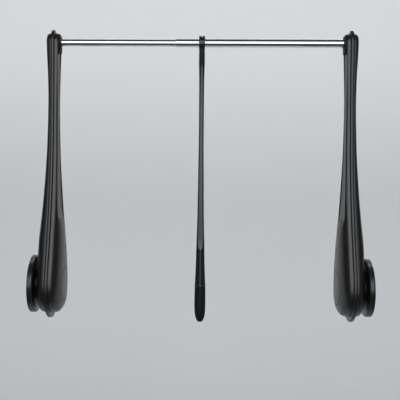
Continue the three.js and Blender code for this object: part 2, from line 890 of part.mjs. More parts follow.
// One side of the fitting, seen from the left wall
function sideAssembly(side, tubeRadius) {
  const group = new THREE.Group();
  const lowerShankEnd = mechanismPlane + guideFront / 2;
  const upperShankEnd = spineInnerFace + seatGap;
  const pieces = [
    ["wall_plate", wallPlate(), "zincSteel"],
    ["base_cover", baseCover(), "satinBlack"],
    ["hub_ring", hubRing(), "deepBlack"],
    ["pivot_shaft", pivotShaft(), "zincSteel"],
    ["fixed_gear", fixedGear(), "zincSteel"],
    ["shaft_nut", shaftNut(), "zincSteel"],
    ["arm_spine", armSpine(), "satinBlack"],
    ["spine_bush", spineBush(), "nylon"],
    ["outer_shell", outerShell(), "satinBlack"],
    ["inner_shell", innerShell(tubeRadius), "satinBlack"],
    ["pivot_cap", pivotCap(), "satinBlack"],
    ["inlay_strip", inlayStrip(), "deepBlack"],
    [
      "lower_shell_screw",
      faceScrew(lowerScrewRadius, lowerScrewShank, lowerScrewHeight, lowerShankEnd),
      "deepBlack",
    ],
    [
      "upper_shell_screw",
      faceScrew(upperScrewRadius, upperScrewShank, upperScrewHeight, upperShankEnd),
      "deepBlack",
    ],
    ["guide_block", guideBlock(), "nylon"],
    ["spring_rack", springRack(), "zincSteel"],
    ["spring_cap", springCap(), "nylon"],
    ["lift_spring", liftSpring(), "springSteel"],
    ["damper_rack", damperRack(), "zincSteel"],
    ["damper_cylinder", damperCylinder(), "zincSteel"],
    ["rail_socket", railSocket(tubeRadius), "deepBlack"],
  ];
  pieces.forEach(([name, geometry, finish]) => {
    group.add(piece(`${side}_${name}`, geometry, finish));
  });
  return group;
}

// Rail
function tube(radius, start, end) {
  return ringAlongX(radius - tubeWall, radius, start, end, mediumSteps);
}

function innerTubePlug() {
  const bore = innerTubeRadius - tubeWall - seatGap;
  const shoulder = innerTubeEnd + seatGap;
  const profile = [
    [0, innerTubeEnd - plugDepth],
    [bore, innerTubeEnd - plugDepth],
    [bore, shoulder],
    [innerTubeRadius, shoulder],
    [innerTubeRadius, shoulder + plugFlange],
    [0, shoulder + plugFlange],
  ];
  return turnedAlongX(profile, mediumSteps);
}

function rail() {
  const group = new THREE.Group();
  const tubeStart = spineInnerFace + 2 * seatGap + socketFloor;
  const outerEnd = interiorWidth - tubeStart;
  group.add(piece("inner_tube", tube(innerTubeRadius, tubeStart, innerTubeEnd), "chrome"));
  group.add(piece("inner_tube_plug", innerTubePlug(), "nylon"));
  group.add(piece("outer_tube", tube(outerTubeRadius, outerTubeStart, outerEnd), "chrome"));
  group.position.z = railHeight;
  return group;
}

// Pull handle
function handleBush() {
  const bore = outerTubeRadius + runGap;
  const half = handleBushLength / 2;
  return ringAlongX(bore, bore + handleBushWall, -half, half, mediumSteps);
}

function handleHead() {
  const bore = outerTubeRadius + 2 * runGap + handleBushWall;
  const half = handleHeadWidth / 2;
  const groove = handleGrooveWidth / 2;
  const ring = turnedAlongX(
    [
      [bore, -half],
      [handleHeadRadius, -half],
      [handleHeadRadius, -groove],
      [handleHeadRadius - handleGrooveDepth, -groove],
      [handleHeadRadius - handleGrooveDepth, groove],
      [handleHeadRadius, groove],
      [handleHeadRadius, half],
      [bore, half],
      [bore, -half],
    ],
    mediumSteps,
  );
  const neckTop = bore + handleGrooveDepth;
  const neck = block(
    [-handleNeckWidth / 2, -handleNeckDepth / 2, -handleNeckDrop],
    [handleNeckWidth / 2, handleNeckDepth / 2, -neckTop],
  );
  const dowelTop = -bore - dowelInset;
  const hole = rodAlongZ(
    dowelRadius + seatGap,
    -handleNeckDrop - cutOverrun,
    dowelTop + seatGap,
    smallSteps,
  );
  return cut(join(ring, [neck]), [hole]);
}

function dowelSpan() {
  const top = railHeight - outerTubeRadius - 2 * runGap - handleBushWall - dowelInset;
  return [top - dowelLength, top];
}

function handleDowel() {
  const [bottom, top] = dowelSpan();
  return rodAlongZ(dowelRadius, bottom, top, smallSteps);
}

function handleShaft() {
  const height = handleShaftTop - handleShaftBottom;
  const rings = handleShares.map(([heightShare, widthShare]) => {
    const half = handleHalfWidth * widthShare;
    const place = handleShaftBottom + heightShare * height;
    const depth = half * handleDepthShare;
    return facetShares.map(([across, along]) => [half * across, depth * along, place]).reverse();
  });
  const count = facetShares.length;
  const index = [];
  for (let ring = 0; ring < rings.length - 1; ring += 1) {
    for (let i = 0; i < count; i += 1) {
      const j = (i + 1) % count;
      const low = ring * count;
      index.push(low + i, low + j, low + count + j, low + i, low + count + j, low + count + i);
    }
  }
  const top = (rings.length - 1) * count;
  for (let i = 1; i < count - 1; i += 1) {
    index.push(0, i + 1, i, top, top + i, top + i + 1);
  }
  const body = new THREE.BufferGeometry();
  body.setAttribute("position", new THREE.Float32BufferAttribute(rings.flat(2), 3));
  body.setIndex(index);
  const tang = rodAlongZ(
    tangRadius,
    handleShaftBottom - tangLength,
    handleShaftBottom + handleHalfWidth / 2,
    smallSteps,
  );
  const [dowelBottom] = dowelSpan();
  const hole = rodAlongZ(
    dowelRadius + seatGap,
    dowelBottom - seatGap,
    handleShaftTop + cutOverrun,
    smallSteps,
  );
  return cut(join(body, [tang]), [hole]);
}

function gripCollar() {
  const radius = handleHalfWidth + collarProud;
  const bore = tangRadius + seatGap;
  const bottom = collarTop - collarHeight;
  const ring = turnedAlongZ(
    [
      [bore, bottom],
      [radius - collarProud, bottom],
      [radius, bottom + collarProud],
      [radius, collarTop - collarProud],
      [radius - collarProud, collarTop],
      [bore, collarTop],
      [bore, bottom],
    ],
    mediumSteps,
  );
  const oval = new THREE.Matrix4().makeScale(1, handleDepthShare, 1);
  const hole = rodAlongZ(bore, bottom - cutOverrun, collarTop + cutOverrun, mediumSteps);
  const filled = rodAlongZ(bore + seatGap, bottom, collarTop, mediumSteps);
  return cut(join(ring.applyMatrix4(oval), [filled]), [hole]);
}

function grip() {
  const top = collarTop - collarHeight - seatGap;
  const height = top + gripBottom;
  const profile = gripShares
    .map(([drop, width]) => [gripHalfWidth * width, top - drop * height])
    .reverse();
  const body = turnedAlongZ([...profile, [0, top]], mediumSteps);
  const oval = new THREE.Matrix4().makeScale(1, handleDepthShare, 1);
  const boreBottom = handleShaftBottom - tangLength - gripGap;
  const bore = rodAlongZ(tangRadius + seatGap, boreBottom, top + cutOverrun, mediumSteps);
  return cut(body.applyMatrix4(oval), [bore]);
}

function handle() {
  const group = new THREE.Group();
  const atRail = new THREE.Group();
  atRail.position.z = railHeight;
  atRail.add(piece("handle_bush", handleBush(), "nylon"));
  atRail.add(piece("handle_head", handleHead(), "satinBlack"));
  group.add(atRail);
  group.add(piece("handle_dowel", handleDowel(), "zincSteel"));
  group.add(piece("handle_shaft", handleShaft(), "satinBlack"));
  group.add(piece("grip_collar", gripCollar(), "satinBlack"));
  group.add(piece("grip", grip(), "rubberBlack"));
  group.position.x = handlePlace;
  return group;
}

const closetRod = new THREE.Group();
closetRod.add(sideAssembly("left", innerTubeRadius));
const rightSide = sideAssembly("right", outerTubeRadius);
rightSide.position.x = interiorWidth;
rightSide.scale.x = -1;
closetRod.add(rightSide);
closetRod.add(rail());
closetRod.add(handle());

export default closetRod;
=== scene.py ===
# %% [markdown]
# A pull down closet rod. It hangs between the two sides of a wardrobe: a black moulded arm on
# each side turns on a round flange, a telescopic chrome rail joins the arm tops, and a slim
# handle with a rubber grip pulls the rail down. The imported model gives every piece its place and
# size. This script dresses that frame: it models the surfaces that show, and gives each its finish.

# %% Load the frame
import math

import bmesh
import bpy
from mathutils import Matrix, Vector


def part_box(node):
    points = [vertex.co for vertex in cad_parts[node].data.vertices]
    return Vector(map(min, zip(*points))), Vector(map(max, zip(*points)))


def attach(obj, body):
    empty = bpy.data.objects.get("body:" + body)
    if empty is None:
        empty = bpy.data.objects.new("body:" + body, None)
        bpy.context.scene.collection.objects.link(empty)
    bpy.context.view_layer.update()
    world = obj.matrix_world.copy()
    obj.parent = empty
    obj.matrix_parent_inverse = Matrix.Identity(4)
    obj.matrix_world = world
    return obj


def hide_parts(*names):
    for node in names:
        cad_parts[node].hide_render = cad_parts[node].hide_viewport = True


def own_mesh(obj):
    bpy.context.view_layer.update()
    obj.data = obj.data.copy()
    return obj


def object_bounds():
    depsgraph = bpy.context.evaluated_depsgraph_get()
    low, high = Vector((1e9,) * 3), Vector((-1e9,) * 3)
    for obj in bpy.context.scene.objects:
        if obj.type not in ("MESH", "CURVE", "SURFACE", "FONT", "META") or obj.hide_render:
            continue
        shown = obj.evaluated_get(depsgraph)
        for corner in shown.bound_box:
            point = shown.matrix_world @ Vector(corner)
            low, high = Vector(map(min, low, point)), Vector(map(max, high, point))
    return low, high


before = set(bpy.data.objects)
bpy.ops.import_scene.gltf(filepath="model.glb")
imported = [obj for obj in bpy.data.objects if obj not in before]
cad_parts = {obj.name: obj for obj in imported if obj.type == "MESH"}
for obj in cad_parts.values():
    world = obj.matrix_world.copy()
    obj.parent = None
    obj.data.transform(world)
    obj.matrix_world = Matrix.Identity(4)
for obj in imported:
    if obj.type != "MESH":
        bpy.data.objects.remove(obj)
cad_low, cad_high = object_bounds()
MM = 0.001

# %% [markdown]
# All sizes come from the frame where they can, so that a new piece sits exactly where the real
# one does. They could be typed in again, but then two files would have to agree. The arm's ridge
# plate gives the plane of the seam, and the two tubes give the rail.

# %% Sizes read from the frame
X, Y = 0, 1


def middle_of(node):
    low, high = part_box(node)
    return (low + high) / 2


def half_size(node, axis):
    low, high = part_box(node)
    return (high[axis] - low[axis]) / 2


ridge_low, ridge_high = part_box("left_arm_spine")
ridge_x = middle_of("left_arm_spine").x
ridge_half_width = half_size("left_arm_spine", X)
rail_height = middle_of("outer_tube").z
interior_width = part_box("right_wall_plate")[1].x
handle_x = middle_of("handle_head").x
print(f"rail {rail_height:.3f} m above the pivots, {interior_width:.3f} m between the walls")

# %% [markdown]
# The photograph looks at the rail from the front, turned a hair to the left and leaning a little.
# A camera that is tilted down makes upright lines lean together. This one stays level and its lens
# is shifted instead, as a view camera's is, so the arms stay upright and the rod in the middle.

# %% Camera
CAMERA_DISTANCE = 1.8785
CAMERA_HEIGHT = 0.337
PHOTO_SIZE = 400
PHOTO_HORIZON = 159.6
PHOTO_MIDDLE = 200.7
FOCAL_PIXELS = 700
SENSOR_WIDTH = 36
CAMERA_ROLL = math.radians(-0.48)
CAMERA_YAW = math.radians(1.8)

camera_data = bpy.data.cameras.new("camera")
camera_data.sensor_width = SENSOR_WIDTH
camera_data.lens = FOCAL_PIXELS / PHOTO_SIZE * SENSOR_WIDTH
camera_data.shift_y = -(PHOTO_SIZE / 2 - PHOTO_HORIZON) / PHOTO_SIZE
turned_by = FOCAL_PIXELS * math.tan(CAMERA_YAW)
camera_data.shift_x = (turned_by - (PHOTO_MIDDLE - PHOTO_SIZE / 2)) / PHOTO_SIZE
camera = bpy.data.objects.new("camera", camera_data)
bpy.context.scene.collection.objects.link(camera)
camera.location = (interior_width / 2, -CAMERA_DISTANCE, CAMERA_HEIGHT)
camera.rotation_euler = (math.pi / 2, CAMERA_ROLL, CAMERA_YAW)
bpy.context.scene.camera = camera
bpy.context.scene.view_settings.view_transform = "Standard"
print(f"camera lens {camera_data.lens:.0f} mm, {CAMERA_DISTANCE} m in front of the pivots")

# %% [markdown]
# Helpers for modelling. An operator works on whatever is selected, as a hand works on whatever it
# holds. So each piece starts from a clean selection, and each helper leaves one object selected.

# %% Selection helpers
def nothing_selected():
    if bpy.context.object and bpy.context.object.mode != "OBJECT":
        bpy.ops.object.mode_set(mode="OBJECT")
    bpy.ops.object.select_all(action="DESELECT")


def only(piece):
    """Selects one object alone, in object mode."""
    nothing_selected()
    piece.select_set(True)
    bpy.context.view_layer.objects.active = piece


def edit(piece, action="SELECT"):
    """Opens one object in edit mode, with all of its mesh selected or none of it."""
    only(piece)
    bpy.ops.object.mode_set(mode="EDIT")
    bpy.ops.mesh.select_all(action=action)


print("selection helpers ready")

# %% [markdown]
# A piece is named as soon as it is made. Modifiers could stay live, but the next cut needs the
# real mesh, so each one is applied at once. Every face is turned outward, because a Boolean and a
# wall's thickness both go by the side that a face looks to.

# %% Mesh helpers
MERGE_DISTANCE = 1e-6


def named(name):
    piece = bpy.context.object
    piece.name = name
    piece.data.name = name
    return piece


def place(piece):
    """Moves the object's place and turn into its mesh."""
    only(piece)
    bpy.ops.object.transform_apply(location=True, rotation=True, scale=True)
    return piece


def modify(piece, kind, **settings):
    """Adds one modifier and applies it."""
    only(piece)
    modifier = piece.modifiers.new(kind.lower(), kind)
    for key, value in settings.items():
        setattr(modifier, key, value)
    bpy.ops.object.modifier_apply(modifier=modifier.name)
    return piece


def outward(piece):
    """Merges doubles and turns every face outward."""
    edit(piece)
    bpy.ops.mesh.remove_doubles(threshold=MERGE_DISTANCE)
    bpy.ops.mesh.normals_make_consistent(inside=False)
    bpy.ops.object.mode_set(mode="OBJECT")
    return piece


print("mesh helpers ready")

# %% [markdown]
# No moulded or turned part has a perfectly sharp edge, and a bevel is what makes an edge catch the
# light. Recesses and bores are cut with Booleans. The exact solver is slower than the fast one,
# but it copes with faces that lie in one plane, and there are many of them here.

# %% Edges and cuts
SMOOTH_ANGLE = math.radians(32)
SHARP_ANGLE = math.radians(35)
WIDE_ANGLE = math.radians(50)
STEEP_ANGLE = math.radians(60)


def smooth(piece, angle=SMOOTH_ANGLE):
    only(piece)
    bpy.ops.object.shade_smooth_by_angle(angle=angle)
    return piece


def softened(piece, width, segments=3, limit=SHARP_ANGLE):
    """Rounds every edge sharper than the limit, as a mould does."""
    modify(piece, "BEVEL", width=width, segments=segments, limit_method="ANGLE",
           angle_limit=limit, harden_normals=False)
    return smooth(piece)


def combined(operation, piece, *tools):
    """Cuts, adds or keeps each tool's shape, and throws the tool away."""
    for tool in tools:
        modify(piece, "BOOLEAN", operation=operation, object=tool, solver="EXACT")
        bpy.data.objects.remove(tool)
    return piece


print("edge and cut helpers ready")

# %% [markdown]
# Flanges, tubes, screws and collar are round about an axis. Spin would make them from a drawn
# profile. Here a circle is extruded and resized ring by ring along the axis, like work on a lathe,
# because each part is then a plain list of radii and places.

# %% Turned pieces
ROUND_STEPS = 96


def turned(name, profile, axis="Z", steps=ROUND_STEPS):
    """A profile of (radius, place along the axis). It is solid where it starts at radius zero."""
    nothing_selected()
    solid = profile[0][0] == 0
    rings = [ring for ring in profile if ring[0] > 0]
    radius, along = rings[0]
    bpy.ops.mesh.primitive_circle_add(
        vertices=steps, radius=radius, location=(0, 0, along), fill_type="NOTHING")
    piece = place(named(name))
    edit(piece)
    if solid:
        bpy.ops.mesh.edge_face_add()
    for next_radius, next_along in rings[1:]:
        bpy.ops.mesh.extrude_region_move(
            TRANSFORM_OT_translate={"value": (0, 0, next_along - along)})
        scale = next_radius / radius
        bpy.ops.transform.resize(value=(scale, scale, 1), center_override=(0, 0, next_along))
        radius, along = next_radius, next_along
    if solid:
        bpy.ops.mesh.edge_face_add()
    outward(piece)
    if axis == "X":
        piece.rotation_euler = (0, math.pi / 2, 0)
    return smooth(place(piece))


def quarter_round(radius, face, rounding, steps):
    """Profile points of a rounded edge, from the side up to the face."""
    angles = [math.pi / 2 * i / steps for i in range(steps + 1)]
    return [(radius - rounding * (1 - math.cos(angle)), face - rounding * (1 - math.sin(angle)))
            for angle in angles]


print("turned shapes ready")

# %% [markdown]
# Arms, stem and neck aren't round. Their section is an ellipse with its diagonals pushed out, or
# drawn in, since a moulded body is squarer than an ellipse. Subdividing a box comes close, but it
# gives no say over how square the section is.

# %% Section of a drawn out piece
NARROWEST, WIDEST = 0.5, 2.0
HALVINGS = 40


def reach_along(x, y, squareness):
    """How far the section reaches in a direction. Its two squarenesses are those of x and of y."""
    low, high = NARROWEST, WIDEST
    for i in range(HALVINGS):
        reach = (low + high) / 2
        if (reach * abs(x)) ** squareness[0] + (reach * abs(y)) ** squareness[1] > 1:
            high = reach
        else:
            low = reach
    return low


def section_circle(sides, squareness):
    """A circle in X and Y, its diagonals pushed out towards a rounded square."""
    bpy.ops.mesh.primitive_circle_add(vertices=sides, radius=1, fill_type="NGON")
    piece = bpy.context.object
    bpy.ops.object.mode_set(mode="EDIT")
    mesh = bmesh.from_edit_mesh(piece.data)
    groups = {}
    for vertex in mesh.verts:
        groups.setdefault(round(abs(vertex.co.x), 4), []).append(vertex.index)
    for indices in groups.values():
        mesh = bmesh.from_edit_mesh(piece.data)
        mesh.verts.ensure_lookup_table()
        bpy.ops.mesh.select_all(action="DESELECT")
        for index in indices:
            mesh.verts[index].select = True
        x, y, _ = mesh.verts[indices[0]].co
        reach = reach_along(x, y, squareness)
        bpy.ops.transform.resize(value=(reach, reach, 1), center_override=(0, 0, 0))
    bpy.ops.object.mode_set(mode="OBJECT")
    return piece


print("section ready")

# %% [markdown]
# A drawn out piece is its section extruded upward, and moved and resized at each height. A curve
# with a taper could do that too, but this follows a table of heights and widths exactly.

# %% Drawn out pieces
def drawn_out(name, rings, sides=4, squareness=(2.0, 2.0)):
    """Rings of (height, middle x, half width in x, half depth in y, middle y), bottom to top."""
    nothing_selected()
    if sides == 4:
        bpy.ops.mesh.primitive_plane_add(size=2)
    else:
        section_circle(sides, squareness)
    piece = named(name)
    height, middle_x, half_x, half_y, middle_y = rings[0]
    piece.scale = (half_x, half_y, 1)
    piece.location = (middle_x, middle_y, height)
    place(piece)
    edit(piece)
    for ring in rings[1:]:
        step = (ring[1] - middle_x, ring[4] - middle_y, ring[0] - height)
        bpy.ops.mesh.extrude_region_move(TRANSFORM_OT_translate={"value": step})
        bpy.ops.transform.resize(
            value=(ring[2] / half_x, ring[3] / half_y, 1),
            center_override=(ring[1], ring[4], ring[0]))
        height, middle_x, half_x, half_y, middle_y = ring
    return smooth(outward(piece))


print("drawn out shapes ready")

# %% [markdown]
# The finishes share a few surface effects, each a node group with its own inputs: the fine grain
# that a mould leaves in plastic, the polish that hands and hangers bring, and the faint lines of
# drawn metal. Each could be built again in every material. As a group it is built once and gives
# out a value only, which each material's shader uses in its own way.

# %% Node helpers
def fill(tree, node, inputs):
    """Sets a node's inputs. Each is a value, or the socket that feeds it."""
    for key, value in inputs.items():
        if isinstance(value, bpy.types.NodeSocket):
            tree.links.new(value, node.inputs[key])
        else:
            node.inputs[key].default_value = value
    return node


def add_node(tree, kind, inputs, **settings):
    node = tree.nodes.new("ShaderNode" + kind)
    for key, value in settings.items():
        setattr(node, key, value)
    return fill(tree, node, inputs)


def new_group(name, inputs, output):
    group = bpy.data.node_groups.new(name, "ShaderNodeTree")
    for socket, default in inputs.items():
        made = group.interface.new_socket(socket, in_out="INPUT", socket_type="NodeSocketFloat")
        made.default_value = default
    group.interface.new_socket(output, in_out="OUTPUT", socket_type="NodeSocketFloat")
    return group, group.nodes.new("NodeGroupInput"), group.nodes.new("NodeGroupOutput")


print("node helpers ready")

# %% [markdown]
# Every pattern is noise on Object coordinates. So it keeps its size in metres, and it stays on its
# piece when the arm swings, which coordinates of the camera or the world wouldn't do.

# %% Patterns
def math_node(tree, operation, first, second):
    return add_node(tree, "Math", {0: first, 1: second}, operation=operation).outputs[0]


def object_place(tree):
    return add_node(tree, "TexCoord", {}).outputs["Object"]


def object_noise(tree, scale, detail=2.0, stretch=None):
    """Noise on object coordinates. A stretch squeezes the pattern along the axes."""
    source = object_place(tree)
    if stretch:
        source = add_node(tree, "Mapping", {"Vector": source, "Scale": stretch}).outputs["Vector"]
    inputs = {"Vector": source, "Scale": scale, "Detail": detail}
    return add_node(tree, "TexNoise", inputs).outputs["Fac"]


print("patterns ready")

# %% [markdown]
# An etched mould leaves plastic with a fine grain that has small round pits in it. Real relief
# would take millions of faces, so it is a height for a bump: noise, and the round cells of a
# Voronoi pattern on top.

# %% Effect: moulded grain
PIT_SHARE = 0.5


def make_moulded_grain():
    group, entry, end = new_group("moulded_grain", {"Grain per metre": 900.0}, "Height")
    grain = entry.outputs["Grain per metre"]
    fine = object_noise(group, grain, detail=3.0)
    pits = add_node(group, "TexVoronoi", {"Vector": object_place(group), "Scale": grain})
    shallow = math_node(group, "MULTIPLY", pits.outputs["Distance"], PIT_SHARE)
    fill(group, end, {"Height": math_node(group, "ADD", fine, shallow)})
    return group


moulded_grain = make_moulded_grain()
print("group:", moulded_grain.name)

# %% [markdown]
# Hands and hangers polish what they touch, in broad patches with finer ones in them. One noise
# alone looks too even, so noises of two sizes are added and brought back to about 0 to 1.

# %% Effect: polish from handling
FINER_PATCHES = 7.0
FINER_SHARE = 0.35
POLISH_SCALE = 0.74


def make_handling_polish():
    group, entry, end = new_group("handling_polish", {"Patches per metre": 14.0}, "Polish")
    patches = entry.outputs["Patches per metre"]
    broad = object_noise(group, patches)
    finer = object_noise(group, math_node(group, "MULTIPLY", patches, FINER_PATCHES), detail=4.0)
    mixed = math_node(group, "ADD", broad, math_node(group, "MULTIPLY", finer, FINER_SHARE))
    fill(group, end, {"Polish": math_node(group, "MULTIPLY", mixed, POLISH_SCALE)})
    return group


handling_polish = make_handling_polish()
print("group:", handling_polish.name)

# %% [markdown]
# Tube is drawn through a die, which leaves faint lines along it. Anisotropic shading could hint
# at them. A noise that is stretched along the rail gives real lines, which also hold close up.

# %% Effect: drawn metal lines
LINES_ALONG_RAIL = (4.0, 900.0, 900.0)


def make_drawn_lines():
    group, entry, end = new_group("drawn_lines", {"Strength": 1.0}, "Lines")
    lines = object_noise(group, 1.0, detail=4.0, stretch=LINES_ALONG_RAIL)
    fill(group, end, {"Lines": math_node(group, "MULTIPLY", lines, entry.outputs["Strength"])})
    return group


drawn_lines = make_drawn_lines()
print("group:", drawn_lines.name)

# %% [markdown]
# These helpers turn an effect's value into a roughness, a colour or a bump. Where colour and
# roughness drift together, a surface looks used and not painted.

# %% Material helpers
def use_group(tree, group, **values):
    inputs = {key.replace("_", " "): value for key, value in values.items()}
    return add_node(tree, "Group", inputs, node_tree=group).outputs[0]


def spread(tree, value, low, high, start=0, end=1):
    """Maps a value between start and end onto low to high."""
    inputs = {"Value": value, "From Min": start, "From Max": end, "To Min": low, "To Max": high}
    return add_node(tree, "MapRange", inputs).outputs["Result"]


def tinted(tree, value, dark, light):
    """A colour between dark and light, by a 0 to 1 value."""
    inputs = {"Factor": value, "A": (*dark, 1), "B": (*light, 1)}
    return add_node(tree, "Mix", inputs, data_type="RGBA").outputs["Result"]


def bumped(tree, height, strength, distance):
    inputs = {"Height": height, "Strength": strength, "Distance": distance}
    return add_node(tree, "Bump", inputs).outputs["Normal"]


def new_finish(name):
    material = bpy.data.materials.new(name)
    material.use_nodes = True
    return material, material.node_tree, material.node_tree.nodes["Principled BSDF"]


print("material helpers ready")

# %% [markdown]
# The arms, covers and handle are moulded in black plastic with a fine satin grain. The grain is
# a shallow bump, and the roughness drifts a little from place to place, so a highlight on a long
# arm is never perfectly even. A single roughness would look like lacquer. The trim, the panel and
# the cap are the same plastic with another polish, and the white nylon is moulded the same way.

# %% Finish: moulded black plastic
PLASTIC_IOR = 1.66


def moulded(name, dark, light, rough_low, rough_high, grain=900.0, depth=0.03 * MM,
            patches=16.0, relief=0.5, ior=PLASTIC_IOR):
    material, tree, shader = new_finish(name)
    polish = use_group(tree, handling_polish, Patches_per_metre=patches)
    height = use_group(tree, moulded_grain, Grain_per_metre=grain)
    fill(tree, shader, {
        "Base Color": tinted(tree, polish, dark, light),
        "Roughness": spread(tree, polish, rough_high, rough_low),
        "Normal": bumped(tree, height, relief, depth), "IOR": ior,
    })
    return material


satin_black = moulded(
    "satin_moulding", (0.009, 0.0095, 0.0105), (0.014, 0.0145, 0.016), 0.28, 0.36)
trim_black = moulded(
    "trim_moulding", (0.008, 0.008, 0.009), (0.013, 0.013, 0.014), 0.36, 0.46)
panel_black = moulded(
    "panel_moulding", (0.011, 0.0115, 0.0125), (0.016, 0.0165, 0.018), 0.3, 0.37)
cap_black = moulded(
    "cap_moulding", (0.012, 0.0125, 0.0135), (0.017, 0.0175, 0.019), 0.3, 0.38, grain=1400.0)
nylon = moulded("pale_nylon", (0.55, 0.54, 0.49), (0.7, 0.69, 0.64), 0.42, 0.55, grain=600.0)
print("plastics: arms, trim, panels, caps and nylon")

# %% [markdown]
# The grip is soft rubber. It is moulded too, so the same function makes it and a second one isn't
# needed. It is duller than the plastic and reflects less, and its grain is finer and deeper.

# %% Finish: rubber grip
RUBBER_IOR = 1.4
grip_rubber = moulded(
    "soft_rubber", (0.005, 0.006, 0.007), (0.01, 0.011, 0.013), 0.46, 0.6, grain=1500.0,
    depth=0.05 * MM, patches=60.0, relief=0.7, ior=RUBBER_IOR)
print("rubber:", grip_rubber.name)

# %% [markdown]
# The rail is chromed steel tube. Chrome is almost a mirror, so what it shows matters more than
# its own colour: the soft lights and the dim room between them draw its bright and dark lines.

# %% Finish: metals
LINE_RELIEF = 0.25


def plated(name, dark, light, rough_low, rough_high, line_depth=0.004 * MM):
    material, tree, shader = new_finish(name)
    polish = use_group(tree, handling_polish, Patches_per_metre=25.0)
    lines = use_group(tree, drawn_lines, Strength=1.0)
    fill(tree, shader, {
        "Base Color": tinted(tree, polish, dark, light), "Metallic": 1.0,
        "Roughness": spread(tree, polish, rough_low, rough_high),
        "Normal": bumped(tree, lines, LINE_RELIEF, line_depth),
    })
    return material


chrome = plated("rail_chrome", (0.74, 0.74, 0.76), (0.8, 0.8, 0.81), 0.05, 0.11)
zinc_steel = plated("zinc_plating", (0.42, 0.44, 0.46), (0.62, 0.63, 0.62), 0.28, 0.48,
                    line_depth=0.02 * MM)
spring_steel = plated("coil_steel", (0.13, 0.135, 0.145), (0.26, 0.265, 0.27), 0.25, 0.42)
black_steel = plated("blackened_steel", (0.02, 0.02, 0.021), (0.05, 0.05, 0.052), 0.35, 0.5)
print("metals: chrome, zinc, spring and black steel")

# %% [markdown]
# Shafts, gears, racks, dampers and guides work inside the arms, where hardly any of them shows.
# They could be modelled anew, but the frame's own solids are exact, so they stay as they are and
# only get a finish.

# %% Inner pieces
INNER_FINISHES = {
    "pivot_shaft": zinc_steel, "fixed_gear": zinc_steel, "shaft_nut": zinc_steel,
    "spring_rack": zinc_steel, "damper_rack": zinc_steel, "damper_cylinder": zinc_steel,
    "spine_bush": nylon, "guide_block": nylon, "spring_cap": nylon,
}
MIDDLE_FINISHES = {"inner_tube_plug": nylon, "handle_bush": nylon, "handle_dowel": zinc_steel}
SIDES = ("left", "right")


def give(piece, material):
    piece.data.materials.clear()
    piece.data.materials.append(material)


for node, material in INNER_FINISHES.items():
    for side in SIDES:
        give(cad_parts[f"{side}_{node}"], material)
for node, material in MIDDLE_FINISHES.items():
    give(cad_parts[node], material)
print("inner pieces dressed:", 2 * len(INNER_FINISHES) + len(MIDDLE_FINISHES))

# %% [markdown]
# The two sides of the rod are mirror images, so every side piece is modelled once, on the left. A
# Mirror modifier would make both sides one object, but each arm turns on its own. So a finished
# piece is copied with its own mesh, mirrored across the middle of the wardrobe and turned right
# side out.


def finish_piece(piece, material, body, *nodes):
    """Gives the piece its material, puts it on its body and hides the nodes it stands for."""
    give(piece, material)
    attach(piece, body)
    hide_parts(*nodes)
    return piece


def both_sides(piece, material, part, *nodes):
    """The left piece and its mirrored copy, on the bodies left_PART and right_PART."""
    copy = piece.copy()
    copy.data = piece.data.copy()
    copy.name = piece.name.replace("left_", "right_")
    copy.data.name = copy.name
    bpy.context.scene.collection.objects.link(copy)
    mirror = Matrix.Translation((interior_width, 0, 0)) @ Matrix.Scale(-1, 4, (1, 0, 0))
    copy.data.transform(mirror)
    copy.data.flip_normals()
    finish_piece(piece, material, f"left_{part}", *[f"left_{node}" for node in nodes])
    finish_piece(copy, material, f"right_{part}", *[f"right_{node}" for node in nodes])
    return piece, copy


print("mirror across x =", interior_width / 2)

# %% [markdown]
# The arm's shape is a tear drop: widest at the pivot, thin at the neck and a little fuller at the
# head. A short table of shares, listed along the arm, gives its half depth and its two
# thicknesses. Straight steps between the rows would show as bands of light on the satin, so a
# smooth curve through the rows fills in every height between them.

# %% The arm's profile
ARM_SHARES = (
    (0, 1, 1.005, 1),
    (0.053, 0.955, 1, 1),
    (0.105, 0.86, 0.983, 1),
    (0.188, 0.7, 0.916, 0.985),
    (0.267, 0.54, 0.829, 0.854),
    (0.351, 0.416, 0.748, 0.713),
    (0.45, 0.315, 0.651, 0.582),
    (0.557, 0.241, 0.568, 0.47),
    (0.74, 0.211, 0.497, 0.39),
    (0.863, 0.219, 0.54, 0.442),
    (0.924, 0.235, 0.582, 0.517),
    (1, 0.265, 0.608, 0.585),
)
DEPTH, INNER, OUTER = 1, 2, 3


def slope(table, row, column):
    if row == 0:
        return 0
    before = table[row - 1]
    after = table[min(row + 1, len(table) - 1)]
    return (after[column] - before[column]) / (after[0] - before[0])


def read_off(table, place_along, column):
    """A smooth value between the table's rows. The first column is the place along the piece."""
    place_along = min(max(place_along, table[0][0]), table[-1][0])
    high = next(i for i, row in enumerate(table) if i and place_along <= row[0])
    low = high - 1
    width = table[high][0] - table[low][0]
    t = (place_along - table[low][0]) / width
    rise = 3 * t ** 2 - 2 * t ** 3
    leave = (t ** 3 - 2 * t ** 2 + t) * width * slope(table, low, column)
    arrive = (t ** 3 - t ** 2) * width * slope(table, high, column)
    value = (1 - rise) * table[low][column] + rise * table[high][column]
    return value + leave + arrive


print("arm profile rows:", len(ARM_SHARES))

# %% [markdown]
# The boxes of the frame's own shells turn the shares into metres. So the new shells end where the
# frame's do, and a small gap stays at the seam, as between any two moulded halves.

# %% The arm's sizes
WIDEST_HEIGHT = -5 * MM
SEAM_GAP = 0.3 * MM
bulge_half_depth = ridge_high.y
inner_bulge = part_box("left_inner_shell")[1].x - ridge_x
outer_bulge = ridge_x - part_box("left_outer_shell")[0].x
rim = ridge_half_width + SEAM_GAP
side_inset = bulge_half_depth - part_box("left_inner_shell")[1].y


def arm_share(height, column):
    share = (height - WIDEST_HEIGHT) / (rail_height - WIDEST_HEIGHT)
    return read_off(ARM_SHARES, share, column)


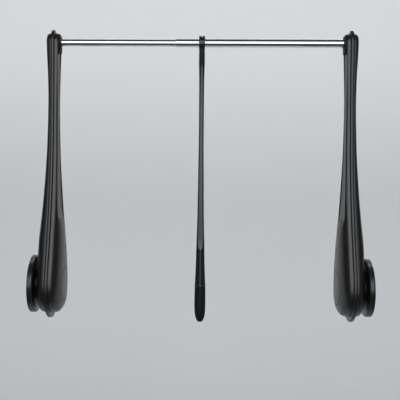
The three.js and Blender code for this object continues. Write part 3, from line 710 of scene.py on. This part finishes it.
def half_depth_at(height):
    return bulge_half_depth * arm_share(height, DEPTH) - side_inset


def inner_thickness(height):
    return inner_bulge * arm_share(height, INNER) - rim


def outer_thickness(height):
    return outer_bulge * arm_share(height, OUTER) - rim


def inner_face(height):
    return ridge_x + rim + inner_thickness(height)


def arm_heights(count):
    """Heights at even steps from the widest place to the rail."""
    return [WIDEST_HEIGHT + i / count * (rail_height - WIDEST_HEIGHT) for i in range(count + 1)]


print(f"arm half depth {bulge_half_depth * 1000:.0f} mm at the pivot")

# %% [markdown]
# Each arm half is a moulded shell. It starts as a whole round body, drawn out ring by ring from the
# bottom of the tear drop to the head. The rings of each end follow an arc, and the last one is a
# small flat, since a single point would pinch the faces round it.

# %% Shell rings
SIDE_RINGS = 44
END_RINGS = 12
END_SQUARENESS = 3.2
TIP_SHARE = 0.08


def end_rings(base, tip, half_x, half_y):
    """Rings of a rounded end, from its base to its tip."""
    rings = []
    for i in range(1, END_RINGS + 1):
        angle = math.pi / 2 * i / END_RINGS
        reach = math.sin(angle)
        thick = max((1 - reach ** END_SQUARENESS) ** (1 / END_SQUARENESS), TIP_SHARE)
        deep = max(math.cos(angle), TIP_SHARE)
        rings.append((base + reach * (tip - base), 0, half_x * thick, half_y * deep, 0))
    return rings


def shell_rings(shell_node, thickness_at):
    """Rings of a whole body whose one half is the shell."""
    low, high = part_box(shell_node)
    foot = end_rings(WIDEST_HEIGHT, low.z, thickness_at(WIDEST_HEIGHT), high.y)
    side = [(height, 0, thickness_at(height), half_depth_at(height), 0)
            for height in arm_heights(SIDE_RINGS)]
    _, _, head_x, head_y, _ = side[-1]
    return foot[::-1] + side + end_rings(rail_height, high.z, head_x, head_y)


print("shell rings:", SIDE_RINGS + 1 + 2 * END_RINGS)

# %% [markdown]
# The body is bisected along the seam, and a Solidify modifier gives the open half its wall. A
# Boolean with a box would cut the body too, but it would close the cut with a face. An open half
# has no inside of its own, so its faces are turned away from the seam before they get their wall.

# %% Half shells
SHELL_SIDES = 64
INNER_SQUARENESS = (2.4, 2.4)
OUTER_SQUARENESS = (3.2, 3.2)
SHELL_WALL = 2.6 * MM
RIM_ROUNDING = 1.2 * MM
RIM_SEGMENTS = 4


def half_shell(name, shell_node, thickness_at, squareness, side):
    """The half of the body on one side of the seam: side is 1 towards the rail, -1 to the wall."""
    piece = drawn_out(name, shell_rings(shell_node, thickness_at), SHELL_SIDES, squareness)
    edit(piece)
    bpy.ops.mesh.bisect(plane_co=(0, 0, 0), plane_no=(side, 0, 0), clear_inner=True)
    outward(piece)
    if sum(face.normal.x * face.area for face in piece.data.polygons) * side < 0:
        piece.data.flip_normals()
    piece.location.x = ridge_x + side * rim
    place(piece)
    modify(piece, "SOLIDIFY", thickness=SHELL_WALL, offset=-1, use_even_offset=True)
    return softened(piece, RIM_ROUNDING, RIM_SEGMENTS, STEEP_ANGLE)


inner_shell = half_shell(
    "left_inner_half", "left_inner_shell", inner_thickness, INNER_SQUARENESS, 1)
outer_shell = half_shell(
    "left_outer_half", "left_outer_shell", outer_thickness, OUTER_SQUARENESS, -1)
print("half shells:", len(inner_shell.data.polygons), len(outer_shell.data.polygons), "faces")

# %% [markdown]
# The inner half carries the details that the photograph shows: a round cap over the pivot, a long
# flat panel, and two small screws. Each sits in its own recess, cut by a tool a little larger
# than the piece, so a thin dark line is left round it. The panel is a plane sunk into the
# rounded side. It is open towards the front, and its foot curves outward until it leaves the
# arm, so the arm's own roundness draws the panel's outline. Insetting faces of the shell would
# tie that outline to the rings, so a bar with the plane as its floor cuts it out.

# %% Panel tools
LINE_GAP = 0.35 * MM
BEYOND = 12 * MM
strip_low, strip_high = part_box("left_inlay_strip")
PANEL_PLANE = (
    (135, 93), (150, 86), (160, 81.7), (170, 78.2), (180, 75.6), (190, 74.1), (217, 72.3),
    (257, 70.6), (337, 68.2), (400, 67.1), (470, 66.3), (551, 66.1), (630, 66.4),
)
PANEL_TILT = math.radians(-4.2)
PANEL_BACK_SHARE = 0.57
PANEL_THICKNESS = 2.0 * MM
PANEL_RINGS = 40


def panel_face(height):
    return read_off(PANEL_PLANE, height / MM, 1) * MM


def panel_bar(name, gap, below, above):
    """A bar between two depths from the panel's plane, open to the front of the arm."""
    foot = PANEL_PLANE[0][0] * MM
    rings = []
    for i in range(PANEL_RINGS + 1):
        height = foot + i / PANEL_RINGS * (strip_high.z + gap - foot)
        back = half_depth_at(height) * PANEL_BACK_SHARE + gap
        front = half_depth_at(height) + BEYOND
        rings.append((height, panel_face(height) + (above - below) / 2, (above + below) / 2,
                      (back + front) / 2, (back - front) / 2))
    bar = drawn_out(name, rings)
    middle = panel_face(rail_height / 2)
    bar.rotation_euler.z = PANEL_TILT
    bar.location.x = middle * (1 - math.cos(PANEL_TILT))
    bar.location.y = -middle * math.sin(PANEL_TILT)
    return place(bar)


def sloped_bar(name, gap, above):
    """The same bar with its outer back line moved back, so that the back wall is a slope."""
    bar = panel_bar(name, gap, 0, above)
    edit(bar, "DESELECT")
    bpy.ops.mesh.select_mode(type="VERT")
    mesh = bmesh.from_edit_mesh(bar.data)
    for vertex in mesh.verts:
        outer = vertex.co.x > panel_face(vertex.co.z) + above / 2
        vertex.select = outer and vertex.co.y > 0
    mesh.select_flush_mode()
    bmesh.update_edit_mesh(bar.data)
    bpy.ops.transform.translate(value=(0, above, 0))
    bpy.ops.object.mode_set(mode="OBJECT")
    return bar


print("panel tools ready")

# %% [markdown]
# The cap, the screws, the rail's socket and the hub need round holes. A bore is a plain turned
# rod. A seat also has a floor, and a chamfer that keeps its edge from looking like paper.

# %% Bores and seats
BORE_STEPS = 48


def bore_along_x(name, radius, start, end, height, steps=BORE_STEPS):
    tool = turned(name, [(0, start), (radius, start), (radius, end), (0, end)], "X", steps)
    tool.location.z = height
    return place(tool)


def seat_along_x(name, radius, floor, face, chamfer, steps=BORE_STEPS):
    """A bore with a floor, and with a chamfer where it meets the face."""
    return turned(name, [
        (0, floor), (radius, floor), (radius, face - chamfer), (radius + chamfer, face),
        (radius + chamfer, face + BEYOND), (0, face + BEYOND)], "X", steps)


print("bores and seats ready")

# %% [markdown]
# Two small screws hold the shells together, and each has a seat of its own. The upper one is a
# little taller than it is wide, as it looks on the real arm.

# %% Screw seats
SEAT_DEPTH = 3.4 * MM
SEAT_CHAMFER = 0.4 * MM
LOWER_SEAT_RADIUS = 4.2 * MM
UPPER_SEAT_RADIUS = 3.6 * MM
UPPER_SEAT_TALL = 1.35
UPPER_SEAT_FORWARD = 2.0 * MM


def screw_seat(name, node, radius, y=0, tall=1.0):
    height = middle_of(node).z
    face = inner_face(height)
    seat = seat_along_x(name, radius, face - SEAT_DEPTH, face, SEAT_CHAMFER)
    seat.scale.z = tall
    seat.location = (0, y, height)
    return place(seat)


lower_seat = screw_seat("lower_tool", "left_lower_shell_screw", LOWER_SEAT_RADIUS)
upper_seat = screw_seat("upper_tool", "left_upper_shell_screw", UPPER_SEAT_RADIUS,
                        -UPPER_SEAT_FORWARD, UPPER_SEAT_TALL)
print("screw seats ready")

# %% [markdown]
# Now the tools cut the left shells: on the inner one the cap's hole, the panel's recess, the screw
# seats and the hole for the rail's socket, and on the outer one the hole for the hub. They are cut
# before they are mirrored, so the right side comes finished.

# %% Cut shells
CAP_GAP = 2.0 * MM
CAP_CHAMFER = 0.8 * MM
HUB_HOLE = 22 * MM
cap_low, cap_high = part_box("left_pivot_cap")
cap_radius = cap_high.y
far_x = inner_face(0) + BEYOND
combined(
    "DIFFERENCE", inner_shell,
    seat_along_x("cap_tool", cap_radius + CAP_GAP, cap_low.x, inner_face(0), CAP_CHAMFER,
                 ROUND_STEPS),
    panel_bar("panel_tool", LINE_GAP, PANEL_THICKNESS + LINE_GAP, BEYOND),
    sloped_bar("slope_tool", LINE_GAP, BEYOND),
    lower_seat,
    upper_seat,
    bore_along_x("socket_tool", half_size("left_rail_socket", Y) + LINE_GAP, ridge_x, far_x,
                 rail_height),
)
hub_tool = bore_along_x("hub_tool", HUB_HOLE, 0, ridge_x - ridge_half_width, 0)
combined("DIFFERENCE", outer_shell, hub_tool)
both_sides(smooth(inner_shell), satin_black, "arm", "inner_shell")
both_sides(smooth(outer_shell), satin_black, "arm", "outer_shell")
print("shells finished")

# %% [markdown]
# The ridge is the edge of the plate between the halves. It stands a little proud all round, more
# at the tip and at the head, and its edge is rounded off. It could be drawn out like the shells,
# but then its edge would change with the section. So it starts as a circle whose points are set
# along the arm's profile, is extruded to the plate's thickness and gets one even bevel.

# %% Ridge plate
RIDGE_SIDE_POINTS = 60
RIDGE_END_POINTS = 18
RIDGE_ROUNDING = 2.7 * MM
RIDGE_SEGMENTS = 5
BUSH_FLANGE_REACH = 4 * MM


def ridge_outline():
    """Points in Y and Z, counterclockwise from the lowest one."""
    angles = [math.pi / 2 * i / RIDGE_END_POINTS for i in range(RIDGE_END_POINTS + 1)]
    drop = WIDEST_HEIGHT - ridge_low.z
    foot = [(bulge_half_depth * math.sin(angle), WIDEST_HEIGHT - drop * math.cos(angle))
            for angle in angles[:-1]]
    side = [(bulge_half_depth * arm_share(height, DEPTH), height)
            for height in arm_heights(RIDGE_SIDE_POINTS)]
    rise = ridge_high.z - rail_height
    head = [(side[-1][0] * math.cos(angle), rail_height + rise * math.sin(angle))
            for angle in angles[1:]]
    right = foot + side + head
    left = [(-depth, height) for depth, height in reversed(right[1:-1])]
    return right + left


def ridge_plate():
    nothing_selected()
    outline = ridge_outline()
    bpy.ops.mesh.primitive_circle_add(vertices=len(outline), fill_type="NGON")
    piece = named("left_arm_ridge")
    for vertex, (depth, height) in zip(piece.data.vertices, outline):
        vertex.co = (ridge_x - ridge_half_width, depth, height)
    edit(piece)
    bpy.ops.mesh.extrude_region_move(
        TRANSFORM_OT_translate={"value": (2 * ridge_half_width, 0, 0)})
    outward(piece)
    bore = half_size("left_spine_bush", Y) - BUSH_FLANGE_REACH + SEAM_GAP
    bush_height = middle_of("left_spine_bush").z
    combined("DIFFERENCE", piece, bore_along_x("bush_tool", bore, 0, 2 * ridge_x, bush_height))
    return softened(piece, RIDGE_ROUNDING, RIDGE_SEGMENTS, STEEP_ANGLE)


ridge = ridge_plate()
both_sides(ridge, satin_black, "arm", "arm_spine")
print("ridge plates:", len(ridge.data.polygons), "faces each")

# %% [markdown]
# The round cap closes the hole over the pivot's nut, and the panel lies in its recess. Both are
# flush with the shell, so each is what the arm's whole body and a simple tool have in common:
# a round plug for the cap and the panel's bar for the panel. A disc and a strip shaped on their
# own would stand proud somewhere. These run on from the shell's roundness without a step.

# %% Cap and panel
CAP_EDGE = 1.0 * MM
CAP_UNDER = 7 * MM
CAP_BOSS_RADIUS = 9 * MM


def flush_piece(name, tool):
    """What the arm's whole body and the tool have in common."""
    rings = shell_rings("left_inner_shell", inner_thickness)
    body = drawn_out(name, rings, SHELL_SIDES, INNER_SQUARENESS)
    body.location.x = ridge_x + rim
    return smooth(combined("INTERSECT", place(body), tool))


def cap_plug():
    under = inner_face(0) - CAP_UNDER
    profile = [(0, cap_low.x), (CAP_BOSS_RADIUS, cap_low.x), (CAP_BOSS_RADIUS, under),
               (cap_radius, under), (cap_radius, far_x), (0, far_x)]
    return turned("cap_plug", profile, "X")


cap = softened(flush_piece("left_round_cap", cap_plug()), CAP_EDGE)
both_sides(cap, cap_black, "arm", "pivot_cap")
inlaid_panel = flush_piece("left_inlaid_panel", panel_bar("bar", 0, PANEL_THICKNESS, 0))
both_sides(inlaid_panel, panel_black, "arm", "inlay_strip")
print("panels:", round((strip_high.z - strip_low.z) * 1000), "mm long")

# %% [markdown]
# The shell screws are small black machine screws with a cross recess, set just below the face. A
# dark cross in the material would pass from afar, but only a real recess has a lit edge close up.

# %% Shell screws
RECESS_ARM = 0.5 * MM
RECESS_DEPTH = 1.0 * MM
RECESS_SHARE = 0.6
SCREW_SINK = 1.4 * MM
HEAD_TALL = 1.9 * MM
HEAD_UNDERCUT = 0.6 * MM
HEAD_EDGE = 0.3 * MM
HEAD_TOP_SHARE = 0.8
SHANK_SHARE = 0.55
SCREW_STEPS = 40


def cross_tool(name, reach, top_x, height):
    arms = []
    for size in ((RECESS_ARM, reach), (reach, RECESS_ARM)):
        nothing_selected()
        bpy.ops.mesh.primitive_cube_add(size=2, location=(top_x, 0, height))
        arm = named(name)
        arm.scale = (RECESS_DEPTH, *size)
        arms.append(place(arm))
    return combined("UNION", *arms)


def shell_screw(node):
    height = middle_of(node).z
    head = half_size(node, Y)
    top = inner_face(height) - SCREW_SINK
    under = top - HEAD_TALL
    shank = head * SHANK_SHARE
    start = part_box(node)[0].x
    profile = [(0, start), (shank, start), (shank, under), (head, under + HEAD_UNDERCUT),
               (head, top - HEAD_EDGE), (head * HEAD_TOP_SHARE, top), (0, top)]
    screw = turned(node.replace("shell_screw", "case_screw"), profile, "X", SCREW_STEPS)
    screw.location.z = height
    cross = cross_tool("cross_tool", head * RECESS_SHARE, top, height)
    return smooth(combined("DIFFERENCE", place(screw), cross))


for node in ("lower_shell_screw", "upper_shell_screw"):
    both_sides(shell_screw(f"left_{node}"), black_steel, "arm", node)
print("shell screws: 4")

# %% [markdown]
# The flange that shows on each wall is a round cover with a rolled front edge. A cylinder with a
# bevel would look the same from the front, but a turned profile also gives it a hollow back.

# %% Wall flange
COVER_EDGE = 5 * MM
COVER_WALL = 2.5 * MM
COVER_HOLE = 30 * MM
COVER_STEPS = 128
EDGE_RINGS = 8


def flange_cover():
    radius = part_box("left_base_cover")[1].y
    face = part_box("left_base_cover")[1].x
    inside = face - COVER_WALL
    bore = radius - COVER_WALL
    profile = [(bore, 0), (radius, 0), *quarter_round(radius, face, COVER_EDGE, EDGE_RINGS),
               (COVER_HOLE, face), (COVER_HOLE, inside), (radius - COVER_EDGE, inside),
               (bore, face - COVER_EDGE), (bore, 0)]
    return turned("left_flange_cover", profile, "X", COVER_STEPS)


both_sides(flange_cover(), satin_black, "base", "base_cover")
print("flange covers ready")

# %% [markdown]
# A steel wall plate with four screw holes lies behind the cover, and its back is seen when the rod
# is off the wall. That face is flat, so the plate is smoothed by a small angle only. A larger one
# would spread the bevels' normals over the face as false facets.

# %% Wall plate
FLAT_ANGLE = math.radians(15)
PLATE_EDGE = 0.3 * MM
PLATE_HOLE = 2.6 * MM
PLATE_HOLE_CIRCLE = 54 * MM
PLATE_HOLES = 4
HOLE_STEPS = 24


def wall_plate():
    low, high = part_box("left_wall_plate")
    plate = bore_along_x("left_steel_plate", high.y, low.x, high.x, 0, ROUND_STEPS)
    for i in range(PLATE_HOLES):
        angle = (i + 0.5) / PLATE_HOLES * 2 * math.pi
        tool = bore_along_x("hole_tool", PLATE_HOLE, -BEYOND, BEYOND,
                            PLATE_HOLE_CIRCLE * math.sin(angle), HOLE_STEPS)
        tool.location.y = PLATE_HOLE_CIRCLE * math.cos(angle)
        combined("DIFFERENCE", plate, place(tool))
    return smooth(softened(plate, PLATE_EDGE, segments=2), FLAT_ANGLE)


both_sides(wall_plate(), zinc_steel, "base", "wall_plate")
print("wall plates ready")

# %% [markdown]
# The hub ring is the black friction ring that keeps flange and arm apart as the arm turns. It is a
# rectangle turned round the pivot, and its edges are softened, since it is a moulded washer.

# %% Hub ring
HUB_BORE = 24 * MM
HUB_EDGE = 0.5 * MM


def hub_ring():
    low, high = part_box("left_hub_ring")
    profile = [(HUB_BORE, low.x), (high.y, low.x), (high.y, high.x), (HUB_BORE, high.x),
               (HUB_BORE, low.x)]
    return softened(turned("left_thrust_ring", profile, "X"), HUB_EDGE)


both_sides(hub_ring(), trim_black, "base", "hub_ring")
print("hub rings ready")

# %% [markdown]
# The rail is two chromed tubes, the left one sliding in the right one. Each tube's ends are
# turned in a little, and the thick tube's end shows in the middle of the rail. Two cylinders would
# do from afar, but a real wall and lip make the step between the tubes look like metal.

# %% Rail tubes
TUBE_WALL = 1.2 * MM
TUBE_LIP = 0.5 * MM
TUBE_STEPS = 72


def rail_tube(name, node):
    low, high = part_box(node)
    radius = half_size(node, Y)
    bore = radius - TUBE_WALL
    profile = [(bore, low.x), (radius - TUBE_LIP, low.x), (radius, low.x + TUBE_LIP),
               (radius, high.x - TUBE_LIP), (radius - TUBE_LIP, high.x), (bore, high.x),
               (bore, low.x)]
    tube = turned(name, profile, "X", TUBE_STEPS)
    tube.location.z = rail_height
    return smooth(place(tube), WIDE_ANGLE)


finish_piece(rail_tube("thin_rail_tube", "inner_tube"), chrome, "left_arm", "inner_tube")
finish_piece(rail_tube("thick_rail_tube", "outer_tube"), chrome, "right_arm", "outer_tube")
print("rail tubes ready")

# %% [markdown]
# A plastic socket in each arm head holds its tube. It is turned, with a small chamfer round its
# mouth, which lies just below the arm's face. A plain ring would look the same from outside, but
# the tube needs a floor to stand on.

# %% Rail sockets
SOCKET_FLOOR = 3 * MM
SOCKET_SINK = 1.6 * MM


def rail_socket(side, tube_node):
    low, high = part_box(f"{side}_rail_socket")
    radius = half_size(f"{side}_rail_socket", Y)
    bore = half_size(tube_node, Y) + SEAM_GAP
    inward = 1 if side == "left" else -1
    start, end = (low.x, high.x) if side == "left" else (high.x, low.x)
    end -= inward * SOCKET_SINK
    floor = start + inward * SOCKET_FLOOR
    profile = [(0, start), (radius, start), (radius, end - inward * TUBE_LIP),
               (radius - TUBE_LIP, end), (bore, end), (bore, floor), (0, floor)]
    socket = turned(f"{side}_tube_socket", profile, "X", TUBE_STEPS)
    socket.location.z = rail_height
    return finish_piece(outward(place(socket)), trim_black, f"{side}_arm", f"{side}_rail_socket")


rail_socket("left", "inner_tube")
rail_socket("right", "outer_tube")
print("rail sockets ready")

# %% [markdown]
# The lift spring is a coil: a small wire circle that a Screw modifier winds upward. A curve with a
# round bevel would do as well, but Screw gives a mesh at once, with even faces. As the arm swings
# out, its rack pulls the spring's cap down. Here the coil keeps the frame spring's length and moves
# with its arm.

# %% Lift springs
WIRE_RADIUS = 1.1 * MM
WIRE_SIDES = 8
SPRING_TURNS = 22
TURN_STEPS = 20


def lift_spring(side):
    node = f"{side}_lift_spring"
    low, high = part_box(node)
    centre = middle_of(node)
    mean = half_size(node, X) - WIRE_RADIUS
    nothing_selected()
    bpy.ops.mesh.primitive_circle_add(
        vertices=WIRE_SIDES, radius=WIRE_RADIUS, location=(mean, 0, WIRE_RADIUS),
        rotation=(math.pi / 2, 0, 0))
    coil = place(named(f"{side}_coil_spring"))
    pitch = (high.z - low.z - 2 * WIRE_RADIUS) / SPRING_TURNS
    modify(coil, "SCREW", axis="Z", angle=2 * math.pi, screw_offset=pitch,
           iterations=SPRING_TURNS, steps=TURN_STEPS, render_steps=TURN_STEPS,
           use_merge_vertices=True, merge_threshold=MERGE_DISTANCE)
    edit(coil, "DESELECT")
    bpy.ops.mesh.select_non_manifold()
    bpy.ops.mesh.fill_holes(sides=0)
    outward(coil)
    coil.location = (centre.x, centre.y, low.z)
    smooth(place(coil), WIDE_ANGLE)
    finish_piece(coil, spring_steel, f"{side}_arm", node)
    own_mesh(coil)
    return coil


for side in SIDES:
    print(lift_spring(side).name, "turns:", SPRING_TURNS)

# %% [markdown]
# The handle's head is a ring round the thick tube, with a groove round its rim. A short oval neck
# joins it to the stem, and is deeper from front to back than the stem is further down. Ring and
# neck are made apart and joined by a Boolean, since one is turned and the other drawn out.

# %% Handle head
head_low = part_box("handle_head")[0]
head_radius = half_size("handle_head", Y)
head_half = half_size("handle_head", X)
HEAD_BORE = 14.4 * MM
HEAD_ROUNDING = 2.0 * MM
RING_ROUNDING = 0.4 * MM
HEAD_RINGS = 6
GROOVE_HALF = 2.2 * MM
GROOVE_DEPTH = 1.3 * MM
NECK_HALF_WIDTH = 7.95 * MM
NECK_TOP_DROP = 15.6 * MM
STEM_SIDES = 48
STEM_SQUARENESS = (1.7, 1.7)
HANDLE_DEPTH_SHARE = 0.8
SHOULDER_DEPTHS = ((0, 0), (583, 0), (590, 0.8), (600, 2.5), (615, 5.2), (630, 8), (640, 9.8))


def shoulder_depth(height):
    """How much deeper the handle is under its head, from a table in millimetres."""
    return read_off(SHOULDER_DEPTHS, height / MM, 1) * MM


def handle_head():
    floor = head_radius - GROOVE_DEPTH
    shoulder = quarter_round(head_radius, head_half, HEAD_ROUNDING, HEAD_RINGS)
    left_half = [(radius, -along) for radius, along in reversed(shoulder)]
    profile = [(HEAD_BORE, -head_half), *left_half, (head_radius, -GROOVE_HALF),
               (floor, -GROOVE_HALF), (floor, GROOVE_HALF), (head_radius, GROOVE_HALF),
               *shoulder, (HEAD_BORE, head_half), (HEAD_BORE, -head_half)]
    ring = softened(turned("handle_ring", profile, "X"), RING_ROUNDING, limit=WIDE_ANGLE)
    ring.location = (handle_x, 0, rail_height)
    place(ring)
    neck_depth = NECK_HALF_WIDTH * HANDLE_DEPTH_SHARE
    rings = [(height, handle_x, NECK_HALF_WIDTH, neck_depth + shoulder_depth(height), 0)
             for height in (head_low.z, rail_height - NECK_TOP_DROP)]
    neck = drawn_out("neck", rings, STEM_SIDES, STEM_SQUARENESS)
    return smooth(combined("UNION", ring, neck))


finish_piece(handle_head(), satin_black, "handle", "handle_head")
print("handle head across", round(2 * head_radius * 1000), "mm")

# %% [markdown]
# The stem is an oval bar, drawn out of its section by a table of heights and half widths. A
# long flat is planed off its front. The flat starts as a point under the head, widens as the
# stem does, and runs out in an arch where the stem flares towards the grip. It could be part of
# the section, but a cut gives it a crisp edge, and the arch then comes of itself.

# %% Handle stem
STEM_SHARES = (
    (0, 1), (0.018, 0.955), (0.061, 0.875), (0.105, 0.815), (0.147, 0.775), (0.19, 0.73),
    (0.234, 0.675), (0.299, 0.615), (0.363, 0.573), (0.43, 0.548), (0.495, 0.515), (0.58, 0.468),
    (0.665, 0.45), (0.75, 0.46), (0.84, 0.472), (0.9, 0.492), (0.925, 0.515), (0.945, 0.545),
    (0.96, 0.556), (1, 0.56),
)
FLAT_DEPTHS = (
    (95, 8.9), (105, 6.9), (115, 5.9), (123, 5.6), (150, 5.3), (190, 5.0), (230, 4.9),
    (300, 4.45), (364, 4.15), (470, 4.25), (551, 4.9), (575, 5.5), (583, 6.0), (590, 6.8),
)
FLAT_REACH = 14 * MM
TANG_RADIUS = 5 * MM
TANG_STEPS = 32
FACET_ANGLE = math.radians(12)


def flat_tool():
    """The room in front of the flat, from a table of heights and depths in millimetres."""
    rings = []
    for height, depth in FLAT_DEPTHS:
        middle_y = -(depth * MM + FLAT_REACH / 2)
        rings.append((height * MM, handle_x, FLAT_REACH, FLAT_REACH / 2, middle_y))
    return drawn_out("flat_tool", rings)


def handle_stem():
    low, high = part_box("handle_shaft")
    half = half_size("handle_shaft", X)
    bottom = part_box("grip_collar")[1].z + SEAM_GAP
    rings = []
    for share, width in STEM_SHARES:
        height = bottom + share * (high.z - bottom)
        depth = half * width * HANDLE_DEPTH_SHARE + shoulder_depth(height)
        rings.append((height, handle_x, half * width, depth, 0))
    stem = drawn_out("handle_stem", rings, STEM_SIDES, STEM_SQUARENESS)
    tang = turned("tang", [(0, low.z), (TANG_RADIUS, low.z), (TANG_RADIUS, bottom + BEYOND),
                           (0, bottom + BEYOND)], steps=TANG_STEPS)
    tang.location.x = handle_x
    combined("UNION", stem, place(tang))
    return smooth(combined("DIFFERENCE", stem, flat_tool()), FACET_ANGLE)


finish_piece(handle_stem(), satin_black, "handle", "handle_shaft")
print("handle stem ready")

# %% [markdown]
# The grip is a soft rubber sleeve below a moulded collar. It swells a little below the collar and
# then tapers to a rounded end. Both are turned like round parts and then made as flat from front
# to back as the stem, which is simpler than drawing them out.

# %% Collar and grip
GRIP_SHARES = ((0, 0.955), (0.04, 0.965), (0.14, 0.975), (0.25, 0.99), (0.4, 1), (0.55, 0.995),
               (0.68, 0.965), (0.76, 0.92), (0.83, 0.845), (0.885, 0.75), (0.93, 0.64),
               (0.965, 0.5), (0.985, 0.36), (0.996, 0.2), (1, 0))
COLLAR_ROUNDING = 2.6 * MM
COLLAR_RINGS = 5
COLLAR_LIP = 1 * MM


def oval(piece):
    """Makes a turned piece as flat front to back as the handle."""
    piece.scale.y = HANDLE_DEPTH_SHARE
    piece.location.x = handle_x
    return place(piece)


def grip_collar():
    """A bead: its upper edge is a quarter round, its lower edge a small lip."""
    low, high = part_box("grip_collar")
    radius = half_size("grip_collar", X)
    bore = TANG_RADIUS + SEAM_GAP
    profile = [(bore, low.z), (radius - COLLAR_LIP, low.z), (radius, low.z + COLLAR_LIP),
               *quarter_round(radius, high.z, COLLAR_ROUNDING, COLLAR_RINGS),
               (bore, high.z), (bore, low.z)]
    return smooth(oval(turned("handle_collar", profile)), WIDE_ANGLE)


def rubber_grip():
    low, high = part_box("grip")
    half = half_size("grip", X)
    profile = [(half * width, high.z - drop * (high.z - low.z)) for drop, width in GRIP_SHARES]
    return smooth(oval(turned("rubber_sleeve", [(0, high.z), *profile])), WIDE_ANGLE)


finish_piece(grip_collar(), satin_black, "handle", "grip_collar")
finish_piece(rubber_grip(), grip_rubber, "handle", "grip")
print("collar and grip ready")

# %% [markdown]
# A plain studio. A pale floor under the rod curves up into a pale backdrop, which is clear from
# behind so that it never hides the rod. The floor in front is there for the camera alone, so the
# black plastic and the chrome keep their dark bands, and far from the lamps the paper stays pale.

# %% Studio paper
FLOOR_DROP = 0.45
FLOOR_START = -0.15
BACKDROP_AWAY = 1.6
SWEEP_WIDTH = 26.0
SWEEP_HEIGHT = 2.6
SWEEP_CURVE = 0.7
CURVE_SEGMENTS = 16
FRONT_FLOOR = 12.0
SWEEP_COLOUR = (0.74, 0.765, 0.785, 1)
GLOW_START = 2.5
GLOW_END = 6.0
FAR_GLOW = 0.6
centre_x = interior_width / 2
floor_z = cad_low.z - FLOOR_DROP


def far_glow(tree):
    """A glow away from the lamps that only the camera sees."""
    split = add_node(tree, "SeparateXYZ", {"Vector": object_place(tree)})
    across = split.outputs["X"]
    left = spread(tree, across, 0, FAR_GLOW, centre_x - GLOW_START, centre_x - GLOW_END)
    right = spread(tree, across, 0, FAR_GLOW, centre_x + GLOW_START, centre_x + GLOW_END)
    ahead = spread(tree, split.outputs["Y"], 0, FAR_GLOW, FLOOR_START, FLOOR_START - GLOW_START)
    glow = math_node(tree, "MAXIMUM", math_node(tree, "MAXIMUM", left, right), ahead)
    seen = add_node(tree, "LightPath", {}).outputs["Is Camera Ray"]
    return math_node(tree, "MULTIPLY", glow, seen)


def studio_paper():
    """A pale matt finish on the front of a face, and none on its back."""
    material, tree, shader = new_finish("pale_sweep")
    fill(tree, shader, {
        "Base Color": SWEEP_COLOUR, "Roughness": 0.9, "Specular IOR Level": 0.1,
        "Emission Color": SWEEP_COLOUR, "Emission Strength": far_glow(tree),
    })
    back = add_node(tree, "NewGeometry", {}).outputs["Backfacing"]
    clear = add_node(tree, "BsdfTransparent", {}).outputs["BSDF"]
    either = add_node(tree, "MixShader", {"Fac": back, 1: shader.outputs["BSDF"], 2: clear})
    fill(tree, tree.nodes["Material Output"], {"Surface": either.outputs["Shader"]})
    return material


def paper_sheet(name, start, end, material):
    """A level sheet of paper between two places in Y."""
    nothing_selected()
    bpy.ops.mesh.primitive_plane_add(size=1, location=(centre_x, (start + end) / 2, floor_z))
    piece = named(name)
    piece.scale = (SWEEP_WIDTH, end - start, 1)
    give(piece, material)
    return place(piece)


paper = studio_paper()
sweep = paper_sheet("studio_sweep", FLOOR_START, BACKDROP_AWAY, paper)
edit(sweep, "DESELECT")
bpy.ops.mesh.select_mode(type="EDGE")
mesh = bmesh.from_edit_mesh(sweep.data)
for edge in mesh.edges:
    edge.select = all(vertex.co.y > 0 for vertex in edge.verts)
bmesh.update_edit_mesh(sweep.data)
bpy.ops.mesh.extrude_region_move(TRANSFORM_OT_translate={"value": (0, 0, SWEEP_HEIGHT)})
modify(sweep, "BEVEL", width=SWEEP_CURVE, segments=CURVE_SEGMENTS, limit_method="ANGLE")
smooth(sweep, STEEP_ANGLE)
front_floor = paper_sheet("studio_front_floor", FLOOR_START - FRONT_FLOOR, FLOOR_START, paper)
front_floor.visible_diffuse = False
front_floor.visible_glossy = False
print("sweep and front floor ready")

# %% [markdown]
# One tall soft light stands in front of the rod, and a wide low one over it lights the backdrop.
# The camera sees neither. The room is dim for the rod and pale for the camera.

# %% Lights
FRONT_DISTANCE = 3.2
FRONT_WIDTH = 2.4
FRONT_LOW = -0.15
FRONT_TOP = 2.6
FRONT_POWER = 46
BACK_AWAY = 0.5
BACK_HEIGHT = 1.4
BACK_AIM = 0.1
BACK_WIDTH = 7.0
BACK_TALL = 0.4
BACK_POWER = 38
ROOM_LIGHT = 0.09
PALE_LIGHT = 0.6


def soft_light(name, location, target, size, power):
    light = bpy.data.lights.new(name, "AREA")
    light.shape = "RECTANGLE"
    light.size, light.size_y = size
    light.energy = power
    lamp = bpy.data.objects.new(name, light)
    bpy.context.scene.collection.objects.link(lamp)
    lamp.location = location
    lamp.visible_camera = False
    lamp.rotation_euler = (Vector(target) - Vector(location)).to_track_quat("-Z", "Y").to_euler()


front_middle = (FRONT_LOW + FRONT_TOP) / 2
soft_light("front_light", (centre_x, -FRONT_DISTANCE, front_middle), (centre_x, 0, front_middle),
           (FRONT_WIDTH, FRONT_TOP - FRONT_LOW), FRONT_POWER)
soft_light("backdrop_light", (centre_x, BACK_AWAY, BACK_HEIGHT),
           (centre_x, BACKDROP_AWAY, BACK_AIM), (BACK_WIDTH, BACK_TALL), BACK_POWER)

world = bpy.data.worlds.new("studio")
bpy.context.scene.world = world
world.use_nodes = True
background = world.node_tree.nodes["Background"]
seen = add_node(world.node_tree, "LightPath", {}).outputs["Is Camera Ray"]
fill(world.node_tree, background, {
    "Color": (0.86, 0.88, 0.9, 1),
    "Strength": spread(world.node_tree, seen, ROOM_LIGHT, PALE_LIGHT),
})
print("lights: 2 and a dim room")
